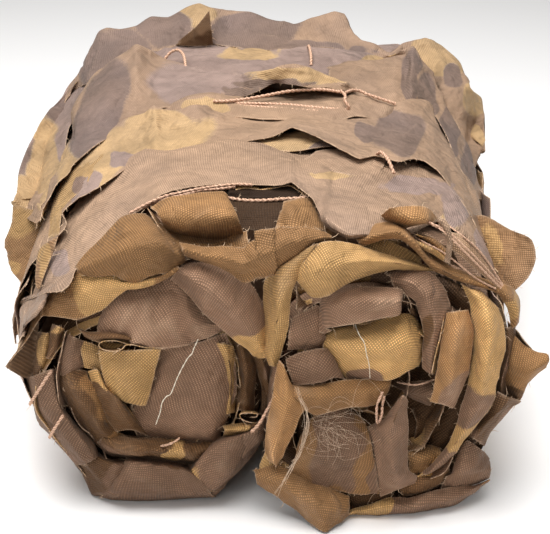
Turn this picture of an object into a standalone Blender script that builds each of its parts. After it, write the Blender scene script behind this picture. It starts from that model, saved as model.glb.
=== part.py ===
"""A camouflage net rolled up from both ends into a double scroll, as a bundle that lies on its two rolls.

The wound net is one solid: two rolls side by side, joined over the top by the deck of cloth that runs from one
roll to the other, with the turns showing at both ends. The garnish strips that lie across the deck, and the loose
cloth ends that hang or stand away from it, are sheets of their own.
Lengths in the tables are millimetres. X runs across the two rolls, Y along them, and Z is up.
"""

import math

import bmesh
import bpy
from mathutils import Vector

MM = 0.001

# Driving sizes of the bundle.
CENTRE_X, CENTRE_Y = -5.0, 175.0  # the middle of the finished bundle, in the tables' own coordinates
CLOTH = 1.2  # thickness of a garnish sheet
STEPS_ROUND = 56  # points round the wound net's section
STEP_ALONG = 12.0  # length of one facet along a sheet
STEP_ACROSS = 17.0  # width of one facet across a sheet
TURN_SPOKES = 36  # points round a roll's end
TURN_RINGS = 11  # rings between a roll's rim and its middle
TURN_REACH = 34.0  # how far a roll's end runs back into the wound net
TURN_ROUNDING = 0.5  # power that rounds a turn's rim: 1 is a plain half wave, less is flatter with sharper grooves
RIM_DROP = 5.0  # how far a roll's end falls away towards its rim
RIM_POWER = 5  # how late along the radius that fall comes
GROOVES_FROM = 1 / 3  # share of the radius inside which the grooves fade out
CLEAR_OF_FLOOR = 0.6  # a roll's end stays this far above the floor
SECTION_MIDDLE_Z = 70.0  # height about which the end sections are drawn in
DECK_STEPS = 180  # samples of the deck's arc length
NORMAL_STEP = 0.02  # half the stretch of the outline that gives its direction

CLOTH_COLOURS = {
    "tan": (0.50, 0.37, 0.25),
    "olive": (0.47, 0.36, 0.17),
    "brown": (0.26, 0.19, 0.15),
    "mauve": (0.36, 0.28, 0.25),
}

# Outlines of the wound net at three places along it, seen from the front: x, z. Each starts in the notch between
# the rolls and goes round the left roll, over the deck and round the right roll.
OUTLINES = {
    14: [
        (-9, 44), (-15, 22), (-33, 5), (-52, 0), (-78, 0), (-99, 5), (-114, 27), (-126, 50),
        (-133, 80), (-122, 112), (-96, 138), (-56, 157), (0, 160), (46, 159), (82, 148), (106, 126),
        (117, 95), (116, 58), (107, 27), (92, 6), (72, 0), (43, 0), (23, 5), (3, 22),
    ],
    110: [
        (-6, 50), (-16, 22), (-34, 4), (-52, 0), (-80, 0), (-104, 6), (-123, 28), (-136, 58),
        (-142, 94), (-136, 125), (-111, 149), (-60, 161), (-4, 164), (48, 163), (92, 153), (114, 132),
        (122, 98), (121, 60), (111, 27), (93, 5), (72, 0), (44, 0), (24, 5), (6, 22),
    ],
    345: [
        (-6, 48), (-17, 22), (-34, 5), (-52, 0), (-80, 0), (-103, 6), (-124, 28), (-138, 62),
        (-143, 104), (-137, 138), (-114, 160), (-58, 168), (-4, 170), (52, 168), (98, 160), (123, 141),
        (130, 106), (127, 62), (115, 27), (96, 5), (74, 0), (44, 0), (24, 5), (6, 22),
    ],
}
MIDDLE_OUTLINE = 110  # the outline on which arc lengths over the deck are measured
LOW_LEFT, LOW_RIGHT = 6, 18  # the outline's points low on the flanks, between which the deck runs

# Where the loft has a section, and how far the section is drawn in there towards its middle.
SECTIONS = [
    (14, 0.965), (22, 1.0), (50, 1.0), (82, 1.0), (118, 1.0), (156, 1.0), (195, 1.0), (232, 1.0), (268, 1.0),
    (300, 1.0), (326, 1.0), (340, 0.985), (349, 0.93),
]

# The turns that show at each end of a roll: middle x and z, place of the end along Y, which way it faces, depth
# of the grooves between turns, where the grooves lie as shares of the radius, the angle the spiral starts at, how
# much deeper the middle lies than the rim, and the outline of the end (x, z).
TURNS = {
    "left_front": dict(
        x=-64, z=66, y=-4, facing=-1, groove=7, edges=(0.0, 0.34, 0.52, 0.66, 1.0), start=2.2, sunk=5,
        outline=[
            (-131, 62), (-122, 42), (-108, 22), (-98, 5), (-74, 1), (-36, 2), (-17, 26), (-9, 52), (-9, 88),
            (-24, 114), (-58, 127), (-92, 116), (-114, 102), (-128, 82),
        ],
    ),
    "right_front": dict(
        x=48, z=84, y=-15, facing=-1, groove=8, edges=(0.0, 0.44, 0.62, 0.8, 1.0), start=0.4, sunk=-2,
        outline=[
            (-6, 34), (3, 14), (22, 3), (46, 1), (76, 1), (97, 6), (109, 26), (119, 55), (120, 88), (108, 116),
            (82, 134), (44, 138), (10, 130), (-4, 104), (-7, 66),
        ],
    ),
    "left_back": dict(
        x=-68, z=68, y=364, facing=1, groove=6, edges=(0.0, 0.22, 0.42, 0.6, 0.8, 1.0), start=1.2, sunk=4,
        outline=[
            (-130, 66), (-122, 36), (-101, 9), (-70, 1), (-38, 3), (-18, 28), (-9, 62), (-12, 98), (-36, 126),
            (-72, 137), (-106, 128), (-126, 102),
        ],
    ),
    "right_back": dict(
        x=60, z=70, y=361, facing=1, groove=6, edges=(0.0, 0.26, 0.46, 0.66, 0.83, 1.0), start=4.0, sunk=3,
        outline=[
            (-3, 64), (6, 28), (28, 4), (62, 1), (93, 8), (112, 34), (119, 68), (116, 106), (96, 132), (60, 142),
            (26, 132), (4, 102),
        ],
    ),
}

# Garnish strips across the deck, and loose ends at its flanks. A station is (arc, points): arc is the length over
# the deck from its middle, negative to the left, and each point (y, lift) is a place along the bundle with the
# height over the wound net. A strip's first point is its free front edge.
DECK_SHEETS = {
    "front_strip": ("tan", [
        (-190, [(-3, 6), (6, 7), (22, 6), (54, 1.7)]),
        (-165, [(-6, -7), (-9, 3), (18, 5), (72, 1.7)]),
        (-130, [(-8, -18), (-11, -1), (14, 6), (86, 1.7)]),
        (-95, [(-8, -20), (-12, -2), (14, 5), (100, 1.7)]),
        (-66, [(-6, -10), (-4, 3), (26, 5), (108, 1.7)]),
        (-42, [(40, 5.5), (48, 6), (66, 4.5), (116, 1.7)]),
        (-5, [(50, 5), (56, 5.5), (74, 4.5), (120, 1.7)]),
        (16, [(46, 5), (54, 5.5), (72, 4.5), (118, 1.7)]),
        (34, [(-9, -2), (-8, 3), (30, 4.5), (114, 1.7)]),
        (58, [(-16, 0), (-17, 4), (24, 4.5), (108, 1.7)]),
        (84, [(-18, -4), (-18, 3), (18, 4.5), (102, 1.7)]),
        (112, [(-17, -1), (-16, 4), (12, 5), (96, 1.7)]),
        (138, [(-13, 3), (-12, 6), (12, 5), (88, 1.7)]),
        (160, [(-4, 6), (-2, 7), (14, 5), (78, 1.7)]),
    ]),
    "second_strip": ("tan", [
        (-196, [(48, 8), (70, 5), (96, 1.7)]), (-160, [(62, 9), (86, 5), (116, 1.7)]),
        (-112, [(84, 8), (112, 5), (146, 1.7)]), (-60, [(102, 9), (132, 5), (166, 1.7)]),
        (0, [(112, 8), (140, 5), (170, 1.7)]), (42, [(106, 9), (134, 5), (164, 1.7)]),
        (90, [(90, 10), (118, 5), (152, 1.7)]), (132, [(76, 9), (102, 5), (134, 1.7)]),
        (176, [(64, 8), (88, 5), (118, 1.7)]),
    ]),
    "third_strip": ("olive", [
        (-192, [(90, 9), (114, 5), (144, 1.7)]), (-150, [(108, 9), (136, 5), (170, 1.7)]),
        (-96, [(136, 9), (166, 5), (198, 1.7)]), (-36, [(156, 8), (184, 5), (218, 1.7)]),
        (24, [(160, 9), (190, 5), (236, 1.7)]), (76, [(146, 9), (174, 5), (206, 1.7)]),
        (124, [(124, 9), (154, 5), (186, 1.7)]), (172, [(108, 9), (134, 5), (164, 1.7)]),
    ]),
    "fourth_strip": ("mauve", [
        (-198, [(136, 9), (164, 5), (196, 1.7)]), (-152, [(160, 10), (190, 5), (228, 1.7)]),
        (-96, [(188, 9), (220, 5), (258, 1.7)]), (-44, [(206, 9), (238, 6), (272, 1.7)]),
        (-22, [(224, 16), (246, 12), (276, 1.7)]), (10, [(230, 19), (250, 13), (280, 1.7)]),
        (40, [(218, 14), (244, 9), (276, 1.7)]), (78, [(196, 9), (226, 5), (264, 1.7)]),
        (124, [(174, 10), (204, 5), (242, 1.7)]), (178, [(152, 9), (180, 5), (218, 1.7)]),
    ]),
    "fifth_strip": ("brown", [
        (-192, [(190, 9), (220, 6), (256, 1.7)]), (-150, [(220, 10), (250, 7), (288, 1.7)]),
        (-116, [(240, 15), (268, 12), (304, 1.7)]), (-74, [(250, 9), (280, 6), (320, 1.7)]),
        (-10, [(276, 9), (298, 6), (332, 1.7)]), (50, [(272, 9), (294, 6), (330, 1.7)]),
        (104, [(246, 13), (272, 9), (310, 1.7)]), (136, [(230, 10), (256, 6), (292, 1.7)]),
        (178, [(212, 9), (238, 6), (272, 1.7)]),
    ]),
    "rear_strip": ("mauve", [
        (-186, [(248, 9), (290, 5), (326, 1.1), (352, 3)]), (-152, [(278, 10), (310, 8), (344, 8), (366, 0)]),
        (-122, [(296, 12), (322, 11), (350, 9), (372, -8)]), (-92, [(308, 9), (336, 12), (360, 12), (378, -8)]),
        (-64, [(318, 10), (340, 17), (362, 21), (380, -4)]), (-40, [(324, 8), (344, 9), (364, 13), (380, -10)]),
        (-8, [(322, 10), (344, 11), (362, 12), (380, -10)]), (28, [(326, 10), (346, 15), (364, 16), (380, -6)]),
        (60, [(320, 10), (342, 10), (362, 11), (378, -10)]), (96, [(302, 11), (330, 15), (356, 16), (374, -6)]),
        (134, [(282, 12), (314, 12), (342, 11), (364, 2)]), (172, [(264, 9), (296, 5), (328, 1.1), (350, 3)]),
    ]),
    "left_leaf_high": ("olive", [
        (-114, [(80, 4.7), (68, 10), (56, 12)]),
        (-132, [(74, 4.7), (60, 13), (46, 17)]),
        (-150, [(66, 4.7), (54, 13), (42, 16)]),
        (-166, [(60, 4.9), (48, 10), (38, 11)]),
    ]),
    "right_leaf_high": ("tan", [
        (108, [(72, 4.8), (54, 12), (42, 15)]),
        (124, [(68, 4.8), (48, 16), (30, 25)]),
        (140, [(62, 5.0), (42, 17), (24, 26)]),
        (152, [(54, 5.6), (36, 13), (22, 17)]),
    ]),
    "right_leaf_low": ("tan", [
        (154, [(22, 6.8), (8, 9), (-2, 10)]),
        (168, [(24, 6.4), (8, 12), (-5, 20)]),
        (180, [(22, 6.2), (6, 13), (-6, 24)]),
        (194, [(18, 6.2), (6, 10), (-3, 12)]),
    ]),
    "left_leaf_low": ("brown", [
        (-176, [(26, 8.2), (12, 10.5), (0, 11)]),
        (-192, [(22, 8.3), (8, 12), (-4, 15)]),
        (-208, [(18, 6), (6, 8), (-2, 10)]),
    ]),
}

# Loose cloth ends: colour, how far the end is pushed along Y onto what carries it, and stations, each a row of
# points (x, y, z) across the cloth.
LOOSE_ENDS = {
    "left_lip": ("tan", 5, [
        [(-101, -19, 139), (-100, -21, 136), (-98, -20, 133)],
        [(-90, -16, 151), (-84, -22, 143), (-79, -19, 134)],
        [(-74, -6, 166), (-71, -20, 152), (-69, -21, 134)],
        [(-60, -8, 168), (-58, -20, 153), (-57, -19, 138)],
        [(-48, -14, 162), (-47, -20, 155), (-45, -16, 149)],
    ]),
    "inner_fold": ("tan", 0, [
        [(-64, 8, 166), (-58, -2, 164)],
        [(-52, 22, 166), (-48, -4, 163)],
        [(-38, 32, 165), (-33, -6, 161)],
        [(-23, 38, 164), (-16, -4, 162)],
    ]),
    "middle_flap": ("tan", 5, [
        [(-47, -21, 157), (-46, -23, 153), (-45, -22, 150)],
        [(-35, -19, 159), (-34, -25, 152), (-33, -21, 146)],
        [(-18, -20, 162), (-18, -29, 151), (-18, -24, 139)],
        [(-2, -18, 168), (-2, -28, 158), (-2, -25, 144)],
        [(11, -16, 169), (12, -24, 162), (13, -21, 153)],
        [(23, -27, 164), (23, -28, 161), (23, -26, 158)],
    ]),
    "top_flap": ("brown", 5.9, [
        [(-97, -9, 112), (-95, -10, 106)],
        [(-84, -9, 121), (-86, -12, 112), (-84, -11, 103)],
        [(-68, -7, 127), (-66, -13, 115), (-62, -12, 102)],
        [(-50, -6, 127), (-50, -12, 113), (-45, -10, 101)],
        [(-38, -5, 119), (-33, -8, 112), (-28, -7, 107)],
    ]),
    "square_end": ("olive", 7.7, [
        [(-90, -10, 97), (-88, -13, 84), (-86, -9, 70)],
        [(-76, -15, 96), (-77, -14, 82), (-76, -9, 66)],
        [(-60, -14, 97), (-64, -12, 82), (-67, -7, 63)],
    ]),
    "rolled_edge": ("mauve", -0.5, [
        [(-47, -8, 144), (-50, -15, 140), (-53, -10, 135)],
        [(-30, -10, 146), (-35, -20, 134), (-41, -12, 122)],
        [(-15, -10, 134), (-20, -22, 124), (-27, -12, 113)],
        [(-5, -10, 118), (-10, -20, 111), (-17, -11, 103)],
        [(-2, -10, 96), (-5, -13, 95), (-10, -10, 93)],
    ]),
    "golden_arch": ("olive", 3.3, [
        [(-2, -18, 88), (-1, -19, 90), (1, -20, 92)],
        [(-5, -18, 112), (1, -21, 114), (8, -21, 118)],
        [(-5, -18, 130), (3, -23, 134), (12, -23, 138)],
        [(11, -18, 144), (16, -24, 138), (21, -22, 129)],
        [(28, -19, 153), (32, -25, 145), (36, -21, 135)],
        [(44, -21, 152), (48, -25, 147), (52, -21, 140)],
        [(60, -22, 149), (63, -23, 146), (66, -20, 142)],
    ]),
    "upper_band": ("mauve", 0, [
        [(22, -19, 114), (24, -21, 113), (26, -20, 111)],
        [(24, -19, 129), (26, -27, 123), (28, -22, 115)],
        [(38, -20, 134), (39, -30, 128), (40, -25, 120)],
        [(61, -20, 134), (61, -29, 130), (60, -25, 123)],
    ]),
    "arch_band": ("brown", 0.6, [
        [(66, -17, 139), (66, -18, 134), (66, -16, 130)],
        [(77, -16, 135), (74, -20, 129), (71, -18, 122)],
        [(84, -16, 122), (80, -21, 116), (75, -19, 110)],
        [(85, -16, 106), (80, -21, 103), (75, -19, 96)],
    ]),
    "folded_strip": ("tan", 2.9, [
        [(88, -17, 120), (92, -21, 121), (98, -16, 120)],
        [(85, -20, 104), (92, -24, 106), (99, -17, 107)],
        [(82, -22, 88), (90, -25, 88), (97, -18, 88)],
        [(79, -22, 73), (86, -23, 70), (92, -20, 67)],
    ]),
    "outer_band": ("olive", 0, [
        [(99, -14, 119), (103, -17, 118), (107, -15, 117)],
        [(101, -15, 108), (107, -20, 108), (113, -16, 107)],
        [(101, -16, 94), (109, -21, 94), (116, -15, 94)],
        [(98, -17, 76), (107, -21, 77), (115, -15, 77)],
        [(94, -18, 58), (101, -21, 59), (108, -16, 60)],
        [(84, -18, 38), (90, -20, 39), (96, -16, 40)],
    ]),
    "cross_strip": ("tan", -1.5, [
        [(7, -20, 97), (9, -23, 90), (11, -22, 83)],
        [(19, -20, 98), (21, -25, 84), (23, -23, 67)],
        [(32, -18, 92), (34, -24, 82), (36, -23, 69)],
        [(46, -17, 82), (47, -22, 78), (48, -21, 72)],
        [(59, -16, 81), (58, -18, 78), (57, -17, 73)],
    ]),
    "slanting_strip": ("tan", 5.9, [
        [(0, -24, 94), (3, -27, 90), (6, -26, 85)],
        [(-3, -22, 78), (4, -30, 76), (11, -28, 72)],
        [(-5, -20, 60), (3, -30, 59), (11, -27, 56)],
        [(-5, -19, 46), (0, -26, 46), (5, -24, 46)],
        [(-2, -19, 37), (0, -22, 37), (2, -21, 37)],
    ]),
    "standing_fold": ("mauve", 2.4, [
        [(52, -18, 57), (60, -26, 67), (67, -22, 78)],
        [(54, -19, 44), (63, -32, 54), (70, -20, 58)],
        [(58, -20, 29), (65, -29, 36), (73, -19, 38)],
        [(62, -19, 18), (69, -23, 21), (77, -17, 24)],
    ]),
    "front_foot": ("tan", 5.1, [
        [(-10, -17, 28), (-9, -19, 25), (-8, -18, 22)],
        [(2, -20, 31), (2, -24, 22), (2, -21, 13)],
        [(14, -21, 27), (16, -28, 15), (19, -25, 3)],
        [(27, -20, 21), (27, -30, 11), (27, -33, 1)],
        [(38, -19, 14), (38, -23, 8), (38, -21, 2)],
    ]),
    "right_curl": ("mauve", -2.2, [
        [(94, -13, 36), (94, -16, 25), (95, -14, 14)],
        [(103, -13, 44), (105, -17, 30), (104, -13, 14)],
        [(112, -8, 38), (114, -11, 27), (112, -8, 15)],
        [(118, -2, 26), (119, -3, 21), (118, -2, 15)],
    ]),
    "back_flap_left": ("olive", -9, [
        [(-112, 371, 118), (-104, 376, 104), (-100, 372, 88)],
        [(-84, 373, 130), (-80, 380, 112), (-78, 374, 92)],
        [(-54, 373, 128), (-52, 379, 108), (-50, 374, 88)],
        [(-28, 371, 108), (-30, 375, 94), (-33, 371, 80)],
    ]),
    "back_flap_right": ("brown", -9.2, [
        [(20, 369, 96), (32, 375, 84), (44, 371, 74)],
        [(34, 371, 120), (46, 379, 104), (56, 373, 90)],
        [(66, 371, 128), (68, 379, 110), (70, 373, 92)],
        [(98, 369, 108), (92, 376, 98), (86, 371, 88)],
    ]),
}


def through(knots, closed=False):
    """A Catmull-Rom curve through the knots, as a function of a place along the list."""
    count = len(knots)

    def knot(i):
        return knots[i % count] if closed else knots[max(0, min(count - 1, i))]

    def at(t):
        i = math.floor(t) if closed else max(0, min(count - 2, math.floor(t)))
        f = t - i
        before, here, there, after = (knot(i + k) for k in (-1, 0, 1, 2))
        return 0.5 * (
            2 * here
            + (there - before) * f
            + (2 * before - 5 * here + 4 * there - after) * f**2
            + (3 * here - before - 3 * there + after) * f**3
        )

    return at


def between(keys, key):
    """The two keys on either side of a key, and the share of the way from the first to the second."""
    key = max(keys[0], min(keys[-1], key))
    i = next(i for i in range(1, len(keys)) if keys[i] >= key)
    return keys[i - 1], keys[i], (key - keys[i - 1]) / (keys[i] - keys[i - 1])


OUTLINE_CURVES = {y: through([Vector(p) for p in points], closed=True) for y, points in OUTLINES.items()}
OUTLINE_COUNT = len(OUTLINES[MIDDLE_OUTLINE])


def outline_at(place, y):
    """The wound net's outline at y: the point at a place along the outline's list."""
    low, high, share = between(sorted(OUTLINES), y)
    return OUTLINE_CURVES[low](place).lerp(OUTLINE_CURVES[high](place), share)


def deck_arcs():
    """Places on the middle outline from flank to flank, with their arc lengths counted from the deck's middle."""
    curve = OUTLINE_CURVES[MIDDLE_OUTLINE]
    places = [LOW_LEFT + (LOW_RIGHT - LOW_LEFT) * i / DECK_STEPS for i in range(DECK_STEPS + 1)]
    arcs = [0.0]
    for a, b in zip(places, places[1:]):
        arcs.append(arcs[-1] + (curve(b) - curve(a)).length)
    middle = next(arc for place, arc in zip(places, arcs) if curve(place).x >= 0)
    return {arc - middle: place for place, arc in zip(places, arcs)}


DECK = deck_arcs()
DECK_KEYS = sorted(DECK)


def deck_point(place_on_deck):
    """The point over the deck at (arc, y, lift): arc is counted from the deck's middle, lift off the wound net."""
    arc, y, lift = place_on_deck
    low, high, share = between(DECK_KEYS, arc)
    place = DECK[low] + (DECK[high] - DECK[low]) * share
    here = outline_at(place, y)
    run = outline_at(place + NORMAL_STEP, y) - outline_at(place - NORMAL_STEP, y)
    outward = Vector((-run.y, run.x)).normalized()
    return Vector((here.x + outward.x * lift, y, here.y + outward.y * lift))


def finish_object(name, bm, colour):
    """Turns a bmesh in millimetres into a named object in metres, moved so that the bundle is centred."""
    for vertex in bm.verts:
        vertex.co = (vertex.co - Vector((CENTRE_X, CENTRE_Y, 0))) * MM
    mesh = bpy.data.meshes.new(name)
    bm.to_mesh(mesh)
    bm.free()
    mesh.materials.append(materials[colour])
    obj = bpy.data.objects.new(name, mesh)
    collection.objects.link(obj)
    return obj


def loft(rings):
    """A closed bmesh through rings of as many points each, the two end rings capped with a fan."""
    bm = bmesh.new()
    rows = [[bm.verts.new(p) for p in ring] for ring in rings]
    count = len(rows[0])
    for low, high in zip(rows, rows[1:]):
        for i in range(count):
            j = (i + 1) % count
            bm.faces.new((low[i], low[j], high[j], high[i]))
    for row in (rows[0], rows[-1]):
        hub = bm.verts.new(sum((v.co for v in row), Vector()) / count)
        for i in range(count):
            bm.faces.new((row[i], row[(i + 1) % count], hub))
    bmesh.ops.recalc_face_normals(bm, faces=bm.faces)
    return bm


def wound_body():
    """The two rolls and the deck over them, lofted through the sections."""
    middle = Vector((CENTRE_X, SECTION_MIDDLE_Z))
    rings = []
    for y, drawn in SECTIONS:
        ring = []
        for i in range(STEPS_ROUND):
            here = outline_at(OUTLINE_COUNT * i / STEPS_ROUND, y)
            grounded = here.y < 1
            here = middle + (here - middle) * drawn
            ring.append(Vector((here.x, y, 0 if grounded else max(0, here.y))))
        rings.append(ring)
    return loft(rings)


def turn_depth(end, share, angle):
    """How far a roll's end lies behind its foremost plane: a spiral of rounded turns with grooves between."""
    edges = end["edges"]
    low, high, part = between(edges, share)
    phase = (edges.index(low) + part - (angle - end["start"]) / (2 * math.pi)) % 1.0
    rounded = abs(math.sin(math.pi * phase)) ** TURN_ROUNDING
    groove = end["groove"] * (1 - rounded) * min(1, share / GROOVES_FROM)
    return groove + end["sunk"] * (1 - share) + RIM_DROP * share**RIM_POWER


def roll_end(end):
    """The wound end of one roll: rings from a plane inside the body out over the rim and in to the middle."""
    rim = through([Vector(p) for p in end["outline"]], closed=True)
    middle = Vector((end["x"], end["z"]))
    count = len(end["outline"])
    spokes = [rim(count * i / TURN_SPOKES) - middle for i in range(TURN_SPOKES)]
    inner = end["y"] - end["facing"] * TURN_REACH
    rings = [[Vector((middle.x + s.x, inner, max(CLEAR_OF_FLOOR, middle.y + s.y))) for s in spokes]]
    for k in range(TURN_RINGS, 0, -1):
        share = k / TURN_RINGS
        ring = []
        for spoke in spokes:
            depth = turn_depth(end, share, math.atan2(spoke.y, spoke.x) % (2 * math.pi))
            here = middle + spoke * share
            ring.append(Vector((here.x, end["y"] - end["facing"] * depth, max(CLEAR_OF_FLOOR, here.y))))
        rings.append(ring)
    return loft(rings)


def unite(body, others):
    """Unites the others with body; they stay in the cutters' collection, hidden."""
    for other in others:
        union = body.modifiers.new(other.name, "BOOLEAN")
        union.operation = "UNION"
        union.solver = "MANIFOLD"  # EXACT drops the body where two lumpy ends meet it
        union.object = other
        other.hide_render = True
        other.display_type = "WIRE"
        collection.objects.unlink(other)
        cutters.objects.link(other)


def sheet(name, colour, stations, place=Vector):
    """A cloth sheet through its stations, each a row of points across the cloth, laid out by place."""
    rows = [through(row) for row in stations]
    widths = [sum((b - a).length for a, b in zip(row, row[1:])) for row in stations]
    middles = [row(0.5 * (len(points) - 1)) for row, points in zip(rows, stations)]
    length = sum((b - a).length for a, b in zip(middles, middles[1:]))
    along = max(3, round(length / STEP_ALONG))
    across = max(2, round(max(widths) / STEP_ACROSS))
    bm = bmesh.new()
    bmesh.ops.create_grid(bm, x_segments=along, y_segments=across, size=0.5)
    for vertex in bm.verts:
        t, v = vertex.co.x + 0.5, vertex.co.y + 0.5
        line = through([row(v * (len(points) - 1)) for row, points in zip(rows, stations)])
        vertex.co = place(line(t * (len(stations) - 1)))
    obj = finish_object(name, bm, colour)
    solid = obj.modifiers.new("cloth", "SOLIDIFY")
    solid.thickness = CLOTH * MM
    solid.offset = 0
    return obj


for old in list(bpy.data.objects):
    bpy.data.objects.remove(old, do_unlink=True)

collection = bpy.data.collections.new("camouflage_net_bundle")
cutters = bpy.data.collections.new("joined_into_the_wound_net")
for group in (collection, cutters):
    bpy.context.scene.collection.children.link(group)

materials = {}
for colour_name, rgb in CLOTH_COLOURS.items():
    material = bpy.data.materials.new(f"{colour_name}_cloth")
    material.use_nodes = True
    shader = material.node_tree.nodes["Principled BSDF"]
    shader.inputs["Base Color"].default_value = (*rgb, 1)
    shader.inputs["Roughness"].default_value = 0.75
    shader.inputs["Metallic"].default_value = 0.0
    materials[colour_name] = material

wound_net = finish_object("wound_net", wound_body(), "brown")
unite(wound_net, [finish_object(f"{place}_turns", roll_end(end), "brown") for place, end in TURNS.items()])
for deck_name, (deck_colour, table) in DECK_SHEETS.items():
    sheet(deck_name, deck_colour, [[Vector((arc, *point)) for point in row] for arc, row in table], deck_point)
for end_name, (end_colour, push, table) in LOOSE_ENDS.items():
    sheet(end_name, end_colour, [[Vector(point) + Vector((0, push, 0)) for point in row] for row in table])
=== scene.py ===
import math

import bpy
import numpy as np
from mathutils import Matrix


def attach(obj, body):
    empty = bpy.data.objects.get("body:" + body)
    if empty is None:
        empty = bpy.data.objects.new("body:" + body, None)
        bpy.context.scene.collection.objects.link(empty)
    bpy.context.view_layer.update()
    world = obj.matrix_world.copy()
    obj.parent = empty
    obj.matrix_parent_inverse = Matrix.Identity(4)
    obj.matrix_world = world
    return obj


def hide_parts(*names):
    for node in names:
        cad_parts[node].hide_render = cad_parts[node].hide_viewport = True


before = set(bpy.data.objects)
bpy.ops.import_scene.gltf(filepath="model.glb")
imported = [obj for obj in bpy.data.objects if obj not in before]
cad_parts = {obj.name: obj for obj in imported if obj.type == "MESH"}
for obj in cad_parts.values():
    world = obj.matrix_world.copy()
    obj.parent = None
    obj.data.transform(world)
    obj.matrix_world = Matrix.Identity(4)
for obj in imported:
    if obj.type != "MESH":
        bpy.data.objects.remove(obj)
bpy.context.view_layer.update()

print("frame loaded:", len(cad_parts), "nodes")

# Lengths in the tables are millimetres, as in the part's own source: X across the two rolls, Y along
# them, Z up.
bundle = dict(middleX=-5.0, middleY=175.0, clothThickness=0.5, rim=0.35, step=1.5, deckStep=2.5, floorGap=0.5)


def toFrame(points):
    # moves the tables' millimetres so that the bundle is centred, and turns them into metres
    return (np.asarray(points, float) - (bundle["middleX"], bundle["middleY"], 0)) * 0.001


# numbers on arrays

def cubic(before, here, there, after, f):
    # the Catmull-Rom cubic from here to there, with slopes from the knots outside them
    return 0.5 * (
        2 * here + (there - before) * f + (2 * before - 5 * here + 4 * there - after) * f**2
        + (3 * here - before - 3 * there + after) * f**3
    )


def through(knots, places, closed=False):
    # the curve through the knots, a cubic between each two
    knots = np.asarray(knots, float)
    places = np.asarray(places, float)
    count = len(knots)
    i = np.floor(places).astype(int)
    if not closed:
        i = np.clip(i, 0, count - 2)
    f = (places - i).reshape(places.shape + (1,) * (knots.ndim - 1))
    around = [(i + k) % count if closed else np.clip(i + k, 0, count - 1) for k in (-1, 0, 1, 2)]
    return cubic(*(knots[k] for k in around), f)


def straight(knots, places):
    # the polyline through the knots, at the same places as through()
    knots = np.asarray(knots, float)
    i = np.clip(np.floor(places).astype(int), 0, len(knots) - 2)
    f = (places - i).reshape(places.shape + (1,) * (knots.ndim - 1))
    return knots[i] * (1 - f) + knots[i + 1] * f


def smoothNoise(s, t, size, seed):
    # value noise from -1 to 1: random heights on a square lattice of that size, joined by smooth steps
    tall, wide = 61, 67
    lattice = np.random.default_rng(seed).uniform(-1, 1, (tall, wide))
    s, t = np.broadcast_arrays(np.asarray(s, float) / size, np.asarray(t, float) / size)
    i, j = np.floor(s).astype(int), np.floor(t).astype(int)
    f, g = s - i, t - j
    f, g = f * f * (3 - 2 * f), g * g * (3 - 2 * g)
    row, nextRow, column, nextColumn = i % tall, (i + 1) % tall, j % wide, (j + 1) % wide
    low = lattice[row, column] * (1 - f) + lattice[nextRow, column] * f
    high = lattice[row, nextColumn] * (1 - f) + lattice[nextRow, nextColumn] * f
    return low * (1 - g) + high * g


def creases(s, t, seed, count, height, width, length):
    # a sum of straight folds: each is height * exp(-distance from its line / width), fading along the line
    random = np.random.default_rng(seed)
    total = np.zeros(np.broadcast(s, t).shape)
    for _ in range(count):
        midS, midT = random.uniform(s.min(), s.max()), random.uniform(t.min(), t.max())
        angle = random.uniform(0, math.pi)
        tall = random.choice((-1, 1)) * random.uniform(0.4, 1) * height
        along = (s - midS) * math.cos(angle) + (t - midT) * math.sin(angle)
        off = (t - midT) * math.cos(angle) - (s - midS) * math.sin(angle)
        off = off + 1.5 * smoothNoise(along, 0, 9, seed + 5)
        reach = length * random.uniform(0.6, 1.4)
        total += tall * np.exp(-np.abs(off) / width) * np.exp(-(along / reach) ** 2)
    return total


def normalsOf(points):
    # the cross product of the grid's two directions, at unit length
    cross = np.cross(np.gradient(points, axis=0), np.gradient(points, axis=1))
    return cross / np.maximum(np.linalg.norm(cross, axis=-1, keepdims=True), 1e-9)


def runs(points, axis):
    # arc length along one axis of a grid, from zero
    steps = np.linalg.norm(np.diff(points, axis=axis), axis=-1)
    zero = np.zeros_like(np.take(steps, [0], axis=axis))
    return np.concatenate([zero, np.cumsum(steps, axis=axis)], axis=axis)


# the wound net's own form

woundForm = dict(
    outlines={
        14: [
            (-9, 44), (-15, 22), (-33, 5), (-52, 0), (-78, 0), (-99, 5), (-114, 27), (-126, 50),
            (-133, 80), (-122, 112), (-96, 138), (-56, 157), (0, 160), (46, 159), (82, 148), (106, 126),
            (117, 95), (116, 58), (107, 27), (92, 6), (72, 0), (43, 0), (23, 5), (3, 22),
        ],
        110: [
            (-6, 50), (-16, 22), (-34, 4), (-52, 0), (-80, 0), (-104, 6), (-123, 28), (-136, 58),
            (-142, 94), (-136, 125), (-111, 149), (-60, 161), (-4, 164), (48, 163), (92, 153), (114, 132),
            (122, 98), (121, 60), (111, 27), (93, 5), (72, 0), (44, 0), (24, 5), (6, 22),
        ],
        345: [
            (-6, 48), (-17, 22), (-34, 5), (-52, 0), (-80, 0), (-103, 6), (-124, 28), (-138, 62),
            (-143, 104), (-137, 138), (-114, 160), (-58, 168), (-4, 170), (52, 168), (98, 160), (123, 141),
            (130, 106), (127, 62), (115, 27), (96, 5), (74, 0), (44, 0), (24, 5), (6, 22),
        ],
    },
    lowLeft=1.0, lowRight=23.0,  # the outline's places between which arcs are measured
    sections=[(14, 0.965), (22, 1.0), (50, 1.0), (300, 1.0), (326, 1.0), (340, 0.985), (349, 0.93)],
    middleZ=70, seed=11, layerEvery=9.0, layerStep=1.6, crumple=1.3,
)


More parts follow.
